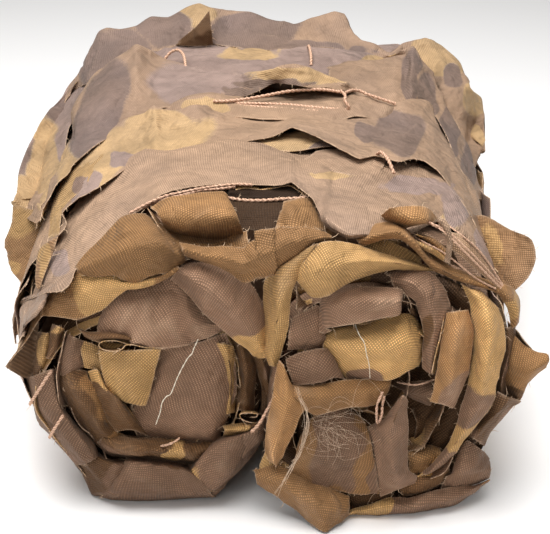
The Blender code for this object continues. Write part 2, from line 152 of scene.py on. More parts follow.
def outlineAt(place, y):
    # the closed outline at y: straight between the curves that are drawn at three places along the bundle
    keys = sorted(woundForm["outlines"])
    curves = [through(woundForm["outlines"][key], place, closed=True) for key in keys]
    y = np.clip(y, keys[0], keys[-1])[..., None]
    low = (y - keys[0]) / (keys[1] - keys[0])
    high = (y - keys[1]) / (keys[2] - keys[1])
    front, back = curves[0] + (curves[1] - curves[0]) * low, curves[1] + (curves[2] - curves[1]) * high
    return np.where(low <= 1, front, back)


arcPlaces = np.linspace(woundForm["lowLeft"], woundForm["lowRight"], 900)
arcLine = through(woundForm["outlines"][110], arcPlaces, closed=True)
arcKeys = np.concatenate([[0], np.cumsum(np.linalg.norm(np.diff(arcLine, axis=0), axis=1))])
arcKeys -= arcKeys[np.argmax((arcLine[:, 0] >= 0) & (arcLine[:, 1] > 100))]


def outwardOf(run):
    # the direction at right angles to a run round the outline, away from the bundle
    outward = np.stack([-run[..., 1], run[..., 0]], -1)
    return outward / np.linalg.norm(outward, axis=-1, keepdims=True)


def deckPoint(points):
    # (arc, y, lift): the outline's point at that arc length from the deck's middle, moved outwards by lift
    arc, y, lift = points[..., 0], points[..., 1], points[..., 2]
    place = np.interp(arc, arcKeys, arcPlaces)
    here = outlineAt(place, y)
    outward = outwardOf(outlineAt(place + 0.04, y) - outlineAt(place - 0.04, y))
    there = here + outward * lift[..., None]
    return np.stack([there[..., 0], y, np.maximum(there[..., 1], bundle["floorGap"])], -1)


# the camera, and places in its view

cameraLook = dict(place=(0.005, -0.810, 0.423), tilt=66.0, lens=90.26, sensor=36.0)
view = dict(width=550, middle=(275, 267), nearest=-30, farthest=395)
# where each close-up starts in the view, and how large it is
closeUps = dict(whole=(0, 0, 1), left=(0, 200, 4.491), right=(255, 200, 4.488))
cameraPlace = np.array(cameraLook["place"]) * 1000 + (bundle["middleX"], bundle["middleY"], 0)
cameraDip = math.radians(90 - cameraLook["tilt"])
focal = cameraLook["lens"] / cameraLook["sensor"] * view["width"]


def seen(across, down, y):
    # the ray through a place in the camera's view, followed as far as y: its drop over its run is the dip
    # plus the angle below the view's middle
    across, down, y = (np.asarray(value, float) for value in (across, down, y))
    slope = (down - view["middle"][1]) / focal
    run = y - cameraPlace[1]
    cosine, sine = math.cos(cameraDip), math.sin(cameraDip)
    drop = run * (slope * cosine + sine) / (cosine - slope * sine)
    depth = run * cosine + drop * sine
    x = cameraPlace[0] + (across - view["middle"][0]) * depth / focal
    return np.stack(np.broadcast_arrays(x, y, cameraPlace[2] - drop), -1)


def inView(points):
    # the other way: where points are in the camera's view
    x, run, drop = np.moveaxis((points - cameraPlace) * (1, 1, -1), -1, 0)
    depth = run * math.cos(cameraDip) + drop * math.sin(cameraDip)
    below = drop * math.cos(cameraDip) - run * math.sin(cameraDip)
    return view["middle"][0] + focal * x / depth, view["middle"][1] + focal * below / depth


def closeUp(side, rows):
    # stations from a close-up: a row holds across, down and y for each of its points in turn, and a row that
    # starts with a close-up's name goes over to that one
    stations = []
    for row in rows:
        if isinstance(row[0], str):
            side, row = row[0], row[1:]
        left, top, scale = closeUps[side]
        across, down, y = np.reshape(row, (-1, 3)).T
        stations.append(seen(left + across / scale, top + down / scale, y))
    return stations


deckYs = np.arange(view["nearest"], view["farthest"], 1.0)
deckPlaces = np.linspace(0, 24, 480, endpoint=False)
deckOutline = outlineAt(*np.broadcast_arrays(deckPlaces[None, :], deckYs[:, None]))


def onDeck(rows, behind=()):
    # a row holds across, down and lift for each of its points in turn; the station has (arc, y, lift) where
    # each ray first comes that near to the net. Points written apart can have a fourth number, the y to stop
    # at, and a row can also be (arc, [(y, lift), ...]). The cloth then runs on behind, never higher than its
    # last reading
    outward = outwardOf(np.roll(deckOutline, -1, 1) - np.roll(deckOutline, 1, 1))
    steps = np.arange(len(deckYs))
    stations = []
    for row in rows:
        if isinstance(row[1], list):
            stations.append([(row[0], *point) for point in row[1]])
            continue
        station = []
        for across, down, lift, *stop in row if isinstance(row[0], tuple) else np.reshape(row, (-1, 3)):
            ray = seen(across, down, deckYs)[:, None, [0, 2]] - deckOutline
            away = np.hypot(ray[..., 0], ray[..., 1])
            nearest = away.argmin(1)
            side = (ray[steps, nearest] * outward[steps, nearest]).sum(-1)
            away = np.where(side < 0, -1, 1) * away[steps, nearest]
            inside = np.flatnonzero(away <= lift)
            at = int(np.argmin(np.abs(away - lift))) if not len(inside) or inside[0] == 0 else inside[0]
            y = deckYs[at]
            if stop:
                at, y = int(np.argmin(np.abs(deckYs - stop[0]))), stop[0]
            elif len(inside) and inside[0] > 0:
                y -= (lift - away[at]) / (away[at - 1] - away[at])
            arc = np.interp(deckPlaces[nearest[at]], arcPlaces, arcKeys)
            station.append((float(arc), float(y), float(away[at]) if stop or not len(inside) else lift))
        arc, y, reached = station[-1]
        for further, last, highest in behind:
            station.append((arc, min(y + further, last), min(highest, reached)))
        stations.append(station)
    return stations


# materials

clothColours = {
    "tan": (0.370, 0.192, 0.076),
    "olive": (0.60, 0.350, 0.135),
    "mauve": (0.262, 0.150, 0.092),
    "brown": (0.155, 0.078, 0.034),
}
# how each colour is tinted by the painted sheen on the deck's pieces, which stands for the pale pink light
# glancing off their tops
deckSheenTints = {
    "tan": (0.93, 1.13, 1.76),
    "olive": (0.80, 0.88, 1.10),
    "mauve": (1.16, 1.40, 1.90),
    "brown": (1.20, 1.55, 2.60),
}
# cut is the pale of cut edges, partly loose fibre and partly a painted highlight; shaded is the near-black of
# painted shade; the second colour, a pale pink, is that of the painted sheen
surfaceColours = dict(
    dusty=(0.46, 0.34, 0.26), paintedSheenColour=(0.50, 0.42, 0.37), cut=(0.66, 0.47, 0.32), rubbed=(0.60, 0.42, 0.28),
    shaded=(0.022, 0.012, 0.007), cord=(0.72, 0.46, 0.32), cordDark=(0.42, 0.24, 0.15),
    thread=(0.86, 0.80, 0.66), threadDark=(0.70, 0.60, 0.46), hair=(0.86, 0.66, 0.48),
    hairDark=(0.66, 0.48, 0.34), loose=(0.66, 0.46, 0.30),
)
weave = dict(
    pitch=1.75, bump=0.6, depth=0.0003, dark=0.76, light=2.1, roughness=0.52, gloss=0.09, sheen=0.06,
    ridgeScale=46, ridgeDepth=0.018, softBump=0.35, softDepth=0.0012,
)


def mathNode(tree, operation, a, b=None, c=None):
    # one sum, product or other operation on numbers or sockets
    node = tree.nodes.new("ShaderNodeMath")
    node.operation = operation
    for socket, value in zip(node.inputs, (a, b, c)):
        if value is None:
            continue
        if isinstance(value, (int, float)):
            socket.default_value = value
        else:
            tree.links.new(value, socket)
    return node.outputs[0]


def rangeNode(tree, value, low, high, toLow=0.0, toHigh=1.0):
    # a smooth step: toLow up to low, toHigh from high on
    node = tree.nodes.new("ShaderNodeMapRange")
    node.interpolation_type = "SMOOTHSTEP"
    for socket, number in zip(("From Min", "From Max", "To Min", "To Max"), (low, high, toLow, toHigh)):
        node.inputs[socket].default_value = number
    tree.links.new(value, node.inputs["Value"])
    return node.outputs["Result"]


def mixNode(tree, share, a, b, blend="MIX"):
    # colour a and that share of colour b, each a socket or three numbers
    node = tree.nodes.new("ShaderNodeMix")
    node.data_type, node.blend_type = "RGBA", blend
    for socket, value in zip((node.inputs[0], node.inputs[6], node.inputs[7]), (share, a, b)):
        if isinstance(value, tuple):
            socket.default_value = (*value, 1)
        elif isinstance(value, (int, float)):
            socket.default_value = value
        else:
            tree.links.new(value, socket)
    return node.outputs[2]


def noiseNode(tree, vector, scale, detail=3.0, roughness=0.5):
    # noise from 0 to 1, with that many lumps to a metre
    node = tree.nodes.new("ShaderNodeTexNoise")
    node.inputs["Scale"].default_value = scale
    node.inputs["Detail"].default_value = detail
    node.inputs["Roughness"].default_value = roughness
    tree.links.new(vector, node.inputs["Vector"])
    return node.outputs["Fac"]


def bumpNode(tree, strength, distance, height, under=None):
    # a bump from a height, over the one that is under it
    node = tree.nodes.new("ShaderNodeBump")
    node.inputs["Strength"].default_value = strength
    node.inputs["Distance"].default_value = distance
    tree.links.new(height, node.inputs["Height"])
    if under:
        tree.links.new(under, node.inputs["Normal"])
    return node.outputs[0]


def weaveAxes(tree):
    # the two directions of a piece's own UV map
    uv = tree.nodes.new("ShaderNodeUVMap")
    uv.uv_map = "weave"
    apart = tree.nodes.new("ShaderNodeSeparateXYZ")
    tree.links.new(uv.outputs["UV"], apart.inputs[0])
    return apart.outputs[0], apart.outputs[1]


def fieldsOf(tree, name):
    # the four fields that a piece keeps in a colour attribute
    node = tree.nodes.new("ShaderNodeAttribute")
    node.attribute_name = name
    apart = tree.nodes.new("ShaderNodeSeparateColor")
    tree.links.new(node.outputs["Color"], apart.inputs[0])
    return [*apart.outputs, node.outputs["Alpha"]]


def newMaterial(name):
    # a material, its nodes and its shader
    material = bpy.data.materials.new(name)
    material.use_nodes = True
    return material, material.node_tree, material.node_tree.nodes["Principled BSDF"]


def clothMaterial(name, base):
    # base colour, three camouflage colours laid over it by the piece's own fields, stains, a painted sheen on
    # the deck's pieces, then the weave
    material, tree, shader = newMaterial(name)
    where = tree.nodes.new("ShaderNodeTexCoord").outputs["Object"]
    axes = weaveAxes(tree)
    fibreAndHighlightEdge, rubbed, shaded, paintedSheen = fieldsOf(tree, "wearAndPaintedLight")
    *channels, woven = fieldsOf(tree, "patches")
    waver = mathNode(tree, "MULTIPLY", mathNode(tree, "SUBTRACT", noiseNode(tree, where, 700, 2), 0.5), 0.10)
    colour, tint = clothColours[base], deckSheenTints[base]
    for channel, laid in zip(channels, ("olive", "mauve", "brown")):
        edge = rangeNode(tree, mathNode(tree, "ADD", channel, waver), 0.46, 0.54)
        colour = mixNode(tree, edge, colour, clothColours[laid])
        tint = mixNode(tree, edge, tint, deckSheenTints[laid])

    stains = rangeNode(tree, noiseNode(tree, where, 30, 5, 0.62), 0.25, 0.75, 0.74, 1.18)
    fading = rangeNode(tree, noiseNode(tree, where, 9, 2), 0.3, 0.7, 0.0, 0.06)
    grey = tree.nodes.new("ShaderNodeCombineColor")
    for socket in grey.inputs:
        tree.links.new(stains, socket)
    colour = mixNode(tree, 1.0, colour, grey.outputs[0], "MULTIPLY")
    colour = mixNode(tree, fading, colour, surfaceColours["dusty"])
    # painted sheen: on the pieces that have it, the colour is tinted pale and pink, as light glancing off the
    # cloth would make it
    paintedSheenColour = mixNode(tree, 0.06, mixNode(tree, 1.0, colour, tint, "MULTIPLY"), surfaceColours["paintedSheenColour"])
    colour = mixNode(tree, paintedSheen, colour, paintedSheenColour)

    # plain weave: the product of two sines along and across the cloth, a chequer of raised threads; the
    # weave's pattern is the cloth's own, and the raised threads are painted lighter as glints
    turn = 2 * math.pi / (weave["pitch"] * 0.001)
    along, across = (mathNode(tree, "SINE", mathNode(tree, "MULTIPLY", axis, turn)) for axis in axes)
    threads = mathNode(tree, "MULTIPLY", along, across)
    uneven = rangeNode(tree, noiseNode(tree, where, 160, 2), 0.25, 0.75, 0.45, 1.0)
    raised = mathNode(tree, "MULTIPLY", rangeNode(tree, threads, 0.2, 0.85), uneven)
    light = mixNode(tree, 1.0, colour, (weave["light"],) * 3, "MULTIPLY")
    dark = mixNode(tree, 1.0, colour, (weave["dark"],) * 3, "MULTIPLY")
    colour = mixNode(tree, woven, colour, mixNode(tree, raised, dark, light))

    # cut edges are pale with loose fibre and a painted highlight, sharp folds are rubbed a little lighter,
    # and deep places take painted shade
    # the pale of cut edges is partly loose fibre and partly a painted highlight, broken up by noise so that
    # it shows only in places
    broken = rangeNode(tree, noiseNode(tree, where, 420, 2), 0.35, 0.6, 0.1, 0.7)
    colour = mixNode(tree, mathNode(tree, "MULTIPLY", fibreAndHighlightEdge, broken), colour, surfaceColours["cut"])
    colour = mixNode(tree, mathNode(tree, "MULTIPLY", rubbed, 0.16), colour, surfaceColours["rubbed"])
    # painted shade: three quarters of the piece's shade share of near-black is mixed into the colour
    colour = mixNode(tree, mathNode(tree, "MULTIPLY", shaded, 0.75), colour, surfaceColours["shaded"])
    tree.links.new(colour, shader.inputs["Base Color"])

    smoothest, roughest = weave["roughness"] - 0.08, weave["roughness"] + 0.12
    rough = rangeNode(tree, noiseNode(tree, where, 60, 3), 0.2, 0.8, smoothest, roughest)
    tree.links.new(rough, shader.inputs["Roughness"])
    shader.inputs["Sheen Weight"].default_value = weave["sheen"]
    shader.inputs["Sheen Roughness"].default_value = 0.35
    shader.inputs["Specular IOR Level"].default_value = weave["gloss"]
    shader.inputs["Sheen Tint"].default_value = (1.0, 0.86, 0.72, 1)

    # sharp crumples, soft dents over them, and the threads on top
    crumples = mathNode(tree, "SUBTRACT", noiseNode(tree, where, weave["ridgeScale"], 3), 0.5)
    normal = bumpNode(tree, 0.6, weave["ridgeDepth"], mathNode(tree, "ABSOLUTE", crumples))
    dents = noiseNode(tree, where, 120, 4, 0.6)
    normal = bumpNode(tree, weave["softBump"], weave["softDepth"], dents, normal)
    normal = bumpNode(tree, weave["bump"], weave["depth"], threads, normal)
    tree.links.new(normal, shader.inputs["Normal"])
    return material


def stringMaterial(name, light, dark, pitch):
    # two yarns wound round each other: slanting stripes from the piece's own UV map
    material, tree, shader = newMaterial(name)
    lengthwise, around = weaveAxes(tree)
    lengthwise = mathNode(tree, "MULTIPLY", lengthwise, 2 * math.pi / (pitch * 0.001))
    slant = mathNode(tree, "ADD", lengthwise, mathNode(tree, "MULTIPLY", around, 2 * math.pi * 3))
    stripe = rangeNode(tree, mathNode(tree, "SINE", slant), -0.7, 0.6)
    where = tree.nodes.new("ShaderNodeTexCoord").outputs["Object"]
    dirt = rangeNode(tree, noiseNode(tree, where, 140, 3), 0.3, 0.8, 0.0, 0.35)
    colour = mixNode(tree, dirt, mixNode(tree, stripe, dark, light), dark)
    tree.links.new(colour, shader.inputs["Base Color"])
    shader.inputs["Roughness"].default_value = 0.8
    tree.links.new(bumpNode(tree, 0.6, 0.0003, stripe), shader.inputs["Normal"])
    return material


clothMaterials = {base: clothMaterial(f"{base} garnish cloth", base) for base in clothColours}
cordMaterial = stringMaterial("twisted net cord", surfaceColours["cord"], surfaceColours["cordDark"], 2.2)
threadMaterial = stringMaterial("undyed thread", surfaceColours["thread"], surfaceColours["threadDark"], 1.2)
hairMaterial = stringMaterial("pale hair", surfaceColours["hair"], surfaceColours["hairDark"], 3.0)
frayMaterial, _, frayShader = newMaterial("loose threads")
frayShader.inputs["Base Color"].default_value = (*surfaceColours["loose"], 1)
frayShader.inputs["Roughness"].default_value = 0.8
loose = dict(every=4.0, reach=1.1, radii=(0.16, 0.12, 0.05))
print("materials made")


# meshes

def addObject(name, data):
    # an object in the scene, at the origin
    thing = bpy.data.objects.new(name, data)
    bpy.context.scene.collection.objects.link(thing)
    return thing


def gridObject(name, points, uv, fields, closed=False):
    # a grid of quads from rows of points; closed joins each row's ends and closes the first and the last row
    rows, columns = points.shape[:2]
    index = np.arange(rows * columns).reshape(rows, columns)
    ring = np.concatenate([index, index[:, :1]], axis=1) if closed else index
    quads = np.stack([ring[:-1, :-1], ring[1:, :-1], ring[1:, 1:], ring[:-1, 1:]], -1).reshape(-1, 4)
    co, uvs = points.reshape(-1, 3), uv.reshape(-1, 2)
    colours = {key: np.asarray(value, float).reshape(co.shape[0], -1) for key, value in fields.items()}
    fans = [np.zeros((0, 3), int)]
    for row, order in ((0, [1, 0]), (-1, [0, 1])) if closed else ():
        hub = len(co)
        co = np.concatenate([co, points[row].mean(0, keepdims=True)])
        uvs = np.concatenate([uvs, uv[row].mean(0, keepdims=True)])
        for key, value in colours.items():
            colours[key] = np.concatenate([value, value[index[row]].mean(0, keepdims=True)])
        pair = np.stack([ring[row, :-1], ring[row, 1:]], -1)[:, order]
        fans.append(np.concatenate([pair, np.full((len(pair), 1), hub)], 1))
    fans = np.concatenate(fans)
    corners = np.concatenate([quads.ravel(), fans.ravel()])
    starts = np.concatenate([np.arange(len(quads)) * 4, len(quads) * 4 + np.arange(len(fans)) * 3])
    mesh = bpy.data.meshes.new(name)
    mesh.vertices.add(len(co))
    mesh.vertices.foreach_set("co", toFrame(co).ravel())
    mesh.loops.add(len(corners))
    mesh.loops.foreach_set("vertex_index", corners)
    mesh.polygons.add(len(starts))
    mesh.polygons.foreach_set("loop_start", starts)
    mesh.polygons.foreach_set("use_smooth", np.ones(len(starts), bool))
    mesh.update(calc_edges=True)
    mesh.uv_layers.new(name="weave").data.foreach_set("uv", uvs[corners].ravel() * 0.001)
    for key, value in colours.items():
        rgba = np.concatenate([value, np.ones((len(value), 1))], 1)[:, :4]
        mesh.attributes.new(key, "FLOAT_COLOR", "POINT").data.foreach_set("color", rgba.ravel())
    mesh.validate()
    piece = addObject(name, mesh)
    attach(piece, "root")
    return piece


def camouflage(s, t, look, tableS, tableT):
    # three fields, each a colour where it passes a half: noise over the cloth, and the patches that are
    # placed, each (colour, its middle, its two reaches, its angle); the fourth field is how much of the weave
    # shows
    seed = look["seed"]
    fields = []
    for channel, (size, share) in enumerate(zip((34, 30, 26), look["mix"])):
        broad = 0.7 * smoothNoise(s, t, size, seed + 31 * channel)
        field = 0.5 + 0.5 * (broad + 0.3 * smoothNoise(s, t, size / 2.7, seed + 7 * channel))
        fields.append(0.5 + 1.6 * (field - (1 - share) * 0.78 - 0.08) if share > 0 else np.zeros_like(s))
    for channel, middleS, middleT, reachS, reachT, *angle in look["patches"]:
        turn = math.radians(angle[0]) if angle else 0.0
        along = (tableS - middleS) * math.cos(turn) + (tableT - middleT) * math.sin(turn)
        over = (tableT - middleT) * math.cos(turn) - (tableS - middleS) * math.sin(turn)
        size = 0.8 * min(reachS, reachT) + 3
        along = along + 0.34 * reachS * smoothNoise(tableS, tableT, size, seed + 77)
        over = over + 0.34 * reachT * smoothNoise(tableS, tableT, size, seed + 78)
        away = np.hypot(along / reachS, over / reachT)
        if channel == 3:  # keeps the base colour there
            fields = [np.minimum(field, away * 0.5) for field in fields]
        else:
            fields[channel] = np.maximum(fields[channel], 1 - 0.5 * away)
    return np.clip(np.stack([*fields, look["weave"] + 0 * s], -1), 0, 1)


frays = []


def fray(points, cutEdges, seed):
    # loose threads at the cut edges: each starts just inside the cloth, leans outwards and droops a little
    random = np.random.default_rng(seed)
    edges = {
        "a": (points[:, 0], points[:, 1]), "b": (points[:, -1], points[:, -2]),
        "c": (points[0], points[1]), "d": (points[-1], points[-2]),
    }
    for letter in cutEdges:
        edge, inner = edges[letter]
        steps = np.linalg.norm(np.diff(edge, axis=0), axis=1)
        along = np.concatenate([[0], np.cumsum(steps)])
        for _ in range(int(along[-1] / loose["every"])):
            place = np.clip(np.searchsorted(along, random.uniform(0, along[-1])), 1, len(edge) - 1)
            outward = edge[place] - inner[place]
            outward /= max(np.linalg.norm(outward), 1e-6)
            beside = (edge[place] - edge[place - 1]) / max(steps[place - 1], 1e-6)
            lean = outward + beside * random.uniform(-0.9, 0.9) + random.normal(0, 0.25, 3)
            reach = loose["reach"] * random.exponential(1.0) + 0.5
            start = edge[place] - beside * random.uniform(0, steps[place - 1]) - outward * 0.4
            middle = start + lean * reach * 0.5
            frays.append([start, middle, middle + (lean + random.normal(0, 0.45, 3)) * reach * 0.5])


def makeFrays(name):
    # every loose thread as a thin three-sided tube that tapers
    paths = np.array(frays)
    ahead = paths[:, 2] - paths[:, 0]
    ahead /= np.maximum(np.linalg.norm(ahead, axis=1, keepdims=True), 1e-6)
    side = np.cross(ahead, (0.31, 0.22, 0.92))
    side /= np.maximum(np.linalg.norm(side, axis=1, keepdims=True), 1e-6)
    up = np.cross(side, ahead)
    angle = np.arange(3) * 2 * math.pi / 3
    ring = np.cos(angle)[None, :, None] * side[:, None] + np.sin(angle)[None, :, None] * up[:, None]
    wide = np.array(loose["radii"])[None, :, None, None]
    co = (paths[:, :, None] + ring[:, None] * wide).reshape(-1, 3)
    co[:, 2] = np.maximum(co[:, 2], bundle["floorGap"])
    corner = np.arange(3)
    quad = np.stack([corner, (corner + 1) % 3, (corner + 1) % 3 + 3, corner + 3], -1)
    faces = (np.concatenate([quad, quad + 3])[None] + 9 * np.arange(len(paths))[:, None, None]).reshape(-1, 4)
    mesh = bpy.data.meshes.new(name)
    mesh.from_pydata(toFrame(co), [], faces)
    mesh.materials.append(frayMaterial)
    piece = addObject(name, mesh)
    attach(piece, "root")


def rimmed(count, span):
    # even places from 0 to 1, with one more just inside each edge, so that what marks an edge stays narrow
    rim = bundle["rim"] / span
    return np.concatenate([[0, rim], np.linspace(0, 1, count)[1:-1], [1 - rim, 1]])


# what a piece of cloth has where its own look doesn't say otherwise
# a piece's shade is painted shade, which darkens pieces that lie deep or in shadow
plainLook = dict(
    colour="tan", held="folded", stiff=0.35, cut=(1.2, 9), nick=0.35, keep="", push=0, behind=(),
    crease=0.9, creaseWidth=3, creaseLength=16, wave=0.8, waveSize=16, swell=0, shade=0, weave=1,
    patches=(), patchesInView=False,
)


def makeCloth(name, look, place=None):
    # the look's stations, joined along and across by a curve that is part smooth and part straight; then a
    # cut edge, folds and creases along the normal, and the cloth's thickness
    look = {**plainLook, **look}
    seed, rows, stiff = look["seed"], look["stations"], look["stiff"]
    if place:
        rows = onDeck(rows, look["behind"])
    v = np.linspace(0, 1, 40)
    rough = np.stack([through(row, v * (len(row) - 1)) for row in rows])
    laid = place(rough) if place else rough
    length = runs(laid, 0)[-1].mean()
    width = runs(laid, 1)[:, -1].max()
    step = look.get("step", bundle["deckStep"] if place else bundle["step"])
    countU, countV = max(8, int(length / step)), max(6, int(width / step))
    u, v = np.meshgrid(rimmed(countU, length), rimmed(countV, width), indexing="ij")

    # cut edges: each of the four is drawn in by a few millimetres of noise
    depth, size = look["cut"]

    def cutAt(along, salt):
        # how far one edge is drawn in: broad bites and small nicks
        broad = 0.5 + 0.5 * smoothNoise(along, salt, size, seed + salt)
        return depth * broad + look["nick"] * np.abs(smoothNoise(along, salt, 1.9, seed + salt + 1))

    alongU, acrossV = u * length, v * width
    startV, endV = cutAt(alongU, 3) / width, cutAt(alongU, 13) / width
    startU, endU = cutAt(acrossV, 23) / length, cutAt(acrossV, 33) / length
    keep = look["keep"]  # edges that are hidden under other cloth stay whole
    startV, endV = startV * ("a" not in keep), endV * ("b" not in keep)
    startU, endU = startU * ("c" not in keep), endU * ("d" not in keep)
    drawnV = (startV + v * (1 - startV - endV)).ravel()
    drawnU = (startU + u * (1 - startU - endU)).ravel()

    curved = [through(row, drawnV * (len(row) - 1)) for row in rows]
    line = [straight(row, drawnV * (len(row) - 1)) for row in rows]
    stack = np.stack([a * (1 - stiff) + b * stiff for a, b in zip(curved, line)])
    spots = drawnU * (len(rows) - 1)
    i = np.clip(np.floor(spots).astype(int), 0, len(rows) - 2)
    f = (spots - i)[:, None]
    column = np.arange(stack.shape[1])
    before, here, there, after = (stack[np.clip(i + k, 0, len(rows) - 1), column] for k in (-1, 0, 1, 2))
    smooth = cubic(before, here, there, after, f)
    table = (smooth * (1 - stiff) + (here * (1 - f) + there * f) * stiff).reshape(*u.shape, 3)
    table[..., 1] += look["push"]
    points = place(table) if place else table
    outwards = points.mean((0, 1)) - (bundle["middleX"], bundle["middleY"], woundForm["middleZ"])
    if (normalsOf(points).mean((0, 1)) * outwards).sum() < 0:
        points, table = points[::-1], table[::-1]
    s, t = runs(points, 0), runs(points, 1)
    s = s.mean(1, keepdims=True) + 0 * s

    # folds: broad waves, sharp creases, and a fine unevenness
    count = look.get("creases", max(3, int(length * width / 420)))
    normal = normalsOf(points)
    fold = creases(s, t, seed + 2, count, look["crease"], look["creaseWidth"], look["creaseLength"])
    wave = look["wave"] * smoothNoise(s, t, look["waveSize"], seed + 3)
    fine = 0.12 * smoothNoise(s, t, 3.5, seed + 4)
    swell = look["swell"] * smoothNoise(s, t, 38, seed + 6)
    points = points + normal * (fold + wave + fine + swell)[..., None]
    points[..., 2] = np.maximum(points[..., 2], bundle["floorGap"])

    fray(points, [letter for letter in "abcd" if letter not in keep], seed + 8)
    uvAngle = math.radians(look.get("weaveAngle", 37 * seed % 90))
    cosine, sine = math.cos(uvAngle), math.sin(uvAngle)
    uv = np.stack([s * cosine - t * sine, s * sine + t * cosine], -1)
    tableS, tableT = table[..., 0], table[..., 1 if place else 2]
    if look["patchesInView"]:
        tableS, tableT = inView(points)
    fromEdge = np.minimum(np.minimum(u, 1 - u) * length, np.minimum(v, 1 - v) * width)
    rubbed = np.clip(fold / max(look["crease"], 0.1), 0, 1) ** 2
    # pieces laid on the deck have the painted sheen in full unless their look says otherwise
    shade, paintedSheen = look["shade"] + 0 * s, look.get("paintedSheen", 1 if place else 0) + 0 * s
    # the fields: pale cut edge of loose fibre and painted highlight, rubbed folds, painted shade, and painted
    # sheen
    wearAndPaintedLight = np.stack([np.exp(-fromEdge / 0.45), rubbed, shade, paintedSheen], -1)
    fields = {"patches": camouflage(s, t, look, tableS, tableT), "wearAndPaintedLight": wearAndPaintedLight}
    piece = gridObject(name, points, uv, fields)
    base = look["colour"]
    piece.data.materials.append(clothMaterials[base])
    piece.data.materials.append(clothMaterials[look.get("under", base)])
    solid = piece.modifiers.new("cloth", "SOLIDIFY")
    solid.thickness = bundle["clothThickness"] * 0.001
    solid.offset = 0
    solid.material_offset = 1
    if "node" in look:
        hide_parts(look["node"])


# the wound net: one closed skin with its layers, and the turns that show at the four roll ends

def makeWoundNet():
    # sections along Y times the outline round, pushed outwards by stepped layers of cloth and by creases
    form = woundForm
    y = np.concatenate([np.linspace(14, 22, 6), np.linspace(24, 338, 96), np.linspace(340, 349, 6)])
    place = np.linspace(0, 24, 200, endpoint=False)
    grid, across = np.meshgrid(y, place, indexing="ij")
    here = outlineAt(across, grid)
    outward = outwardOf(outlineAt(across + 0.04, grid) - outlineAt(across - 0.04, grid))
    arc = np.interp(place, arcPlaces, arcKeys)[None, :] + 0 * grid
    seed = form["seed"]
    sweep = grid + 7 * smoothNoise(arc, grid, 40, seed) + 2 * smoothNoise(arc, grid, 11, seed + 1)
    every = form["layerEvery"] * 2.6
    layer = form["layerStep"] * (1 - (sweep / every) % 1.0)
    fold = creases(arc, grid, seed + 2, 260, form["crumple"], 3.5, 22)
    lift = layer + fold + 0.8 * smoothNoise(arc, grid, 18, seed + 3) - 2.2
    drawn = np.interp(y, *zip(*form["sections"]))[:, None]
    middle = np.array([bundle["middleX"], form["middleZ"]])
    there = middle + (here + outward * lift[..., None] - middle) * drawn[..., None]
    points = np.stack([there[..., 0], grid, np.maximum(there[..., 1], 0.2)], -1)
    uv = np.stack([arc, grid], -1)
    look = dict(plainLook, mix=(0.18, 0.22, 0.12), seed=seed)
    # the pale layer edges are partly loose fibre and partly a painted highlight, and the whole net takes a
    # quarter share of painted shade
    edge = np.clip(1 - (sweep / every) % 1.0 * 14, 0, 1) * 0.6
    wearAndPaintedLight = np.stack([edge, np.clip(fold, 0, 1) ** 2, 0.25 + 0 * edge, 0 * edge], -1)
    fields = {"patches": camouflage(arc, grid, look, arc, grid), "wearAndPaintedLight": wearAndPaintedLight}
    piece = gridObject("woundNet", points, uv, fields, True)
    piece.data.materials.append(clothMaterials["mauve"])
    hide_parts("wound_net")


# each end's middle, how deep it is and where its turns end as shares of the radius, and the strips that stand
# out of it, which follow the same spiral
rollEnds = {
    "leftFrontEnd": dict(
        x=-64, z=66, y=5, facing=-1, reach=34, groove=9, edges=(0, 0.34, 0.52, 0.66, 1), start=2.2, sunk=8,
        seed=21, turns=3.6, turnsY=-3, startTurn=0.4,
        outline=[
            (-131, 62), (-122, 42), (-108, 22), (-98, 5), (-74, 1), (-36, 2), (-17, 26), (-9, 52), (-9, 88),
            (-24, 114), (-58, 127), (-92, 116), (-114, 102), (-128, 82),
        ],
    ),
    "rightFrontEnd": dict(
        x=48, z=78, y=-4, facing=-1, reach=34, groove=9, edges=(0, 0.44, 0.62, 0.8, 1), start=0.4, sunk=6,
        seed=22, turns=3.4, turnsY=-12, startTurn=1.2,
        outline=[
            (-6, 34), (3, 14), (22, 3), (46, 1), (76, 1), (97, 6), (109, 26), (119, 55), (120, 88),
            (108, 116), (82, 134), (44, 138), (10, 130), (-4, 104), (-7, 66),
        ],
    ),
    "leftBackEnd": dict(
        x=-68, z=68, y=358, facing=1, reach=34, groove=7, edges=(0, 0.22, 0.42, 0.6, 0.8, 1), start=1.2,
        sunk=5, seed=23, turns=4.6, turnsY=366, startTurn=2.0,
        outline=[
            (-130, 66), (-122, 36), (-101, 9), (-70, 1), (-38, 3), (-18, 28), (-9, 62), (-12, 98), (-36, 126),
            (-72, 137), (-106, 128), (-126, 102),
        ],
    ),
    "rightBackEnd": dict(
        x=60, z=70, y=355, facing=1, reach=34, groove=7, edges=(0, 0.26, 0.46, 0.66, 0.83, 1), start=4.0,
        sunk=4, seed=24, turns=4.4, turnsY=363, startTurn=3.3,
        outline=[
            (-3, 64), (6, 28), (28, 4), (62, 1), (93, 8), (112, 34), (119, 68), (116, 106), (96, 132),
            (60, 142), (26, 132), (4, 102),
        ],
    ),
}


def rimRadius(end, angle):
    # how far the end's outline lies from its middle at each angle
    rim = through(end["outline"], np.linspace(0, len(end["outline"]), 400, endpoint=False), closed=True)
    away = rim - (end["x"], end["z"])
    turned = np.arctan2(away[:, 1], away[:, 0])
    order = np.argsort(turned)
    return np.interp(angle, turned[order], np.hypot(*away[order].T), period=2 * math.pi)


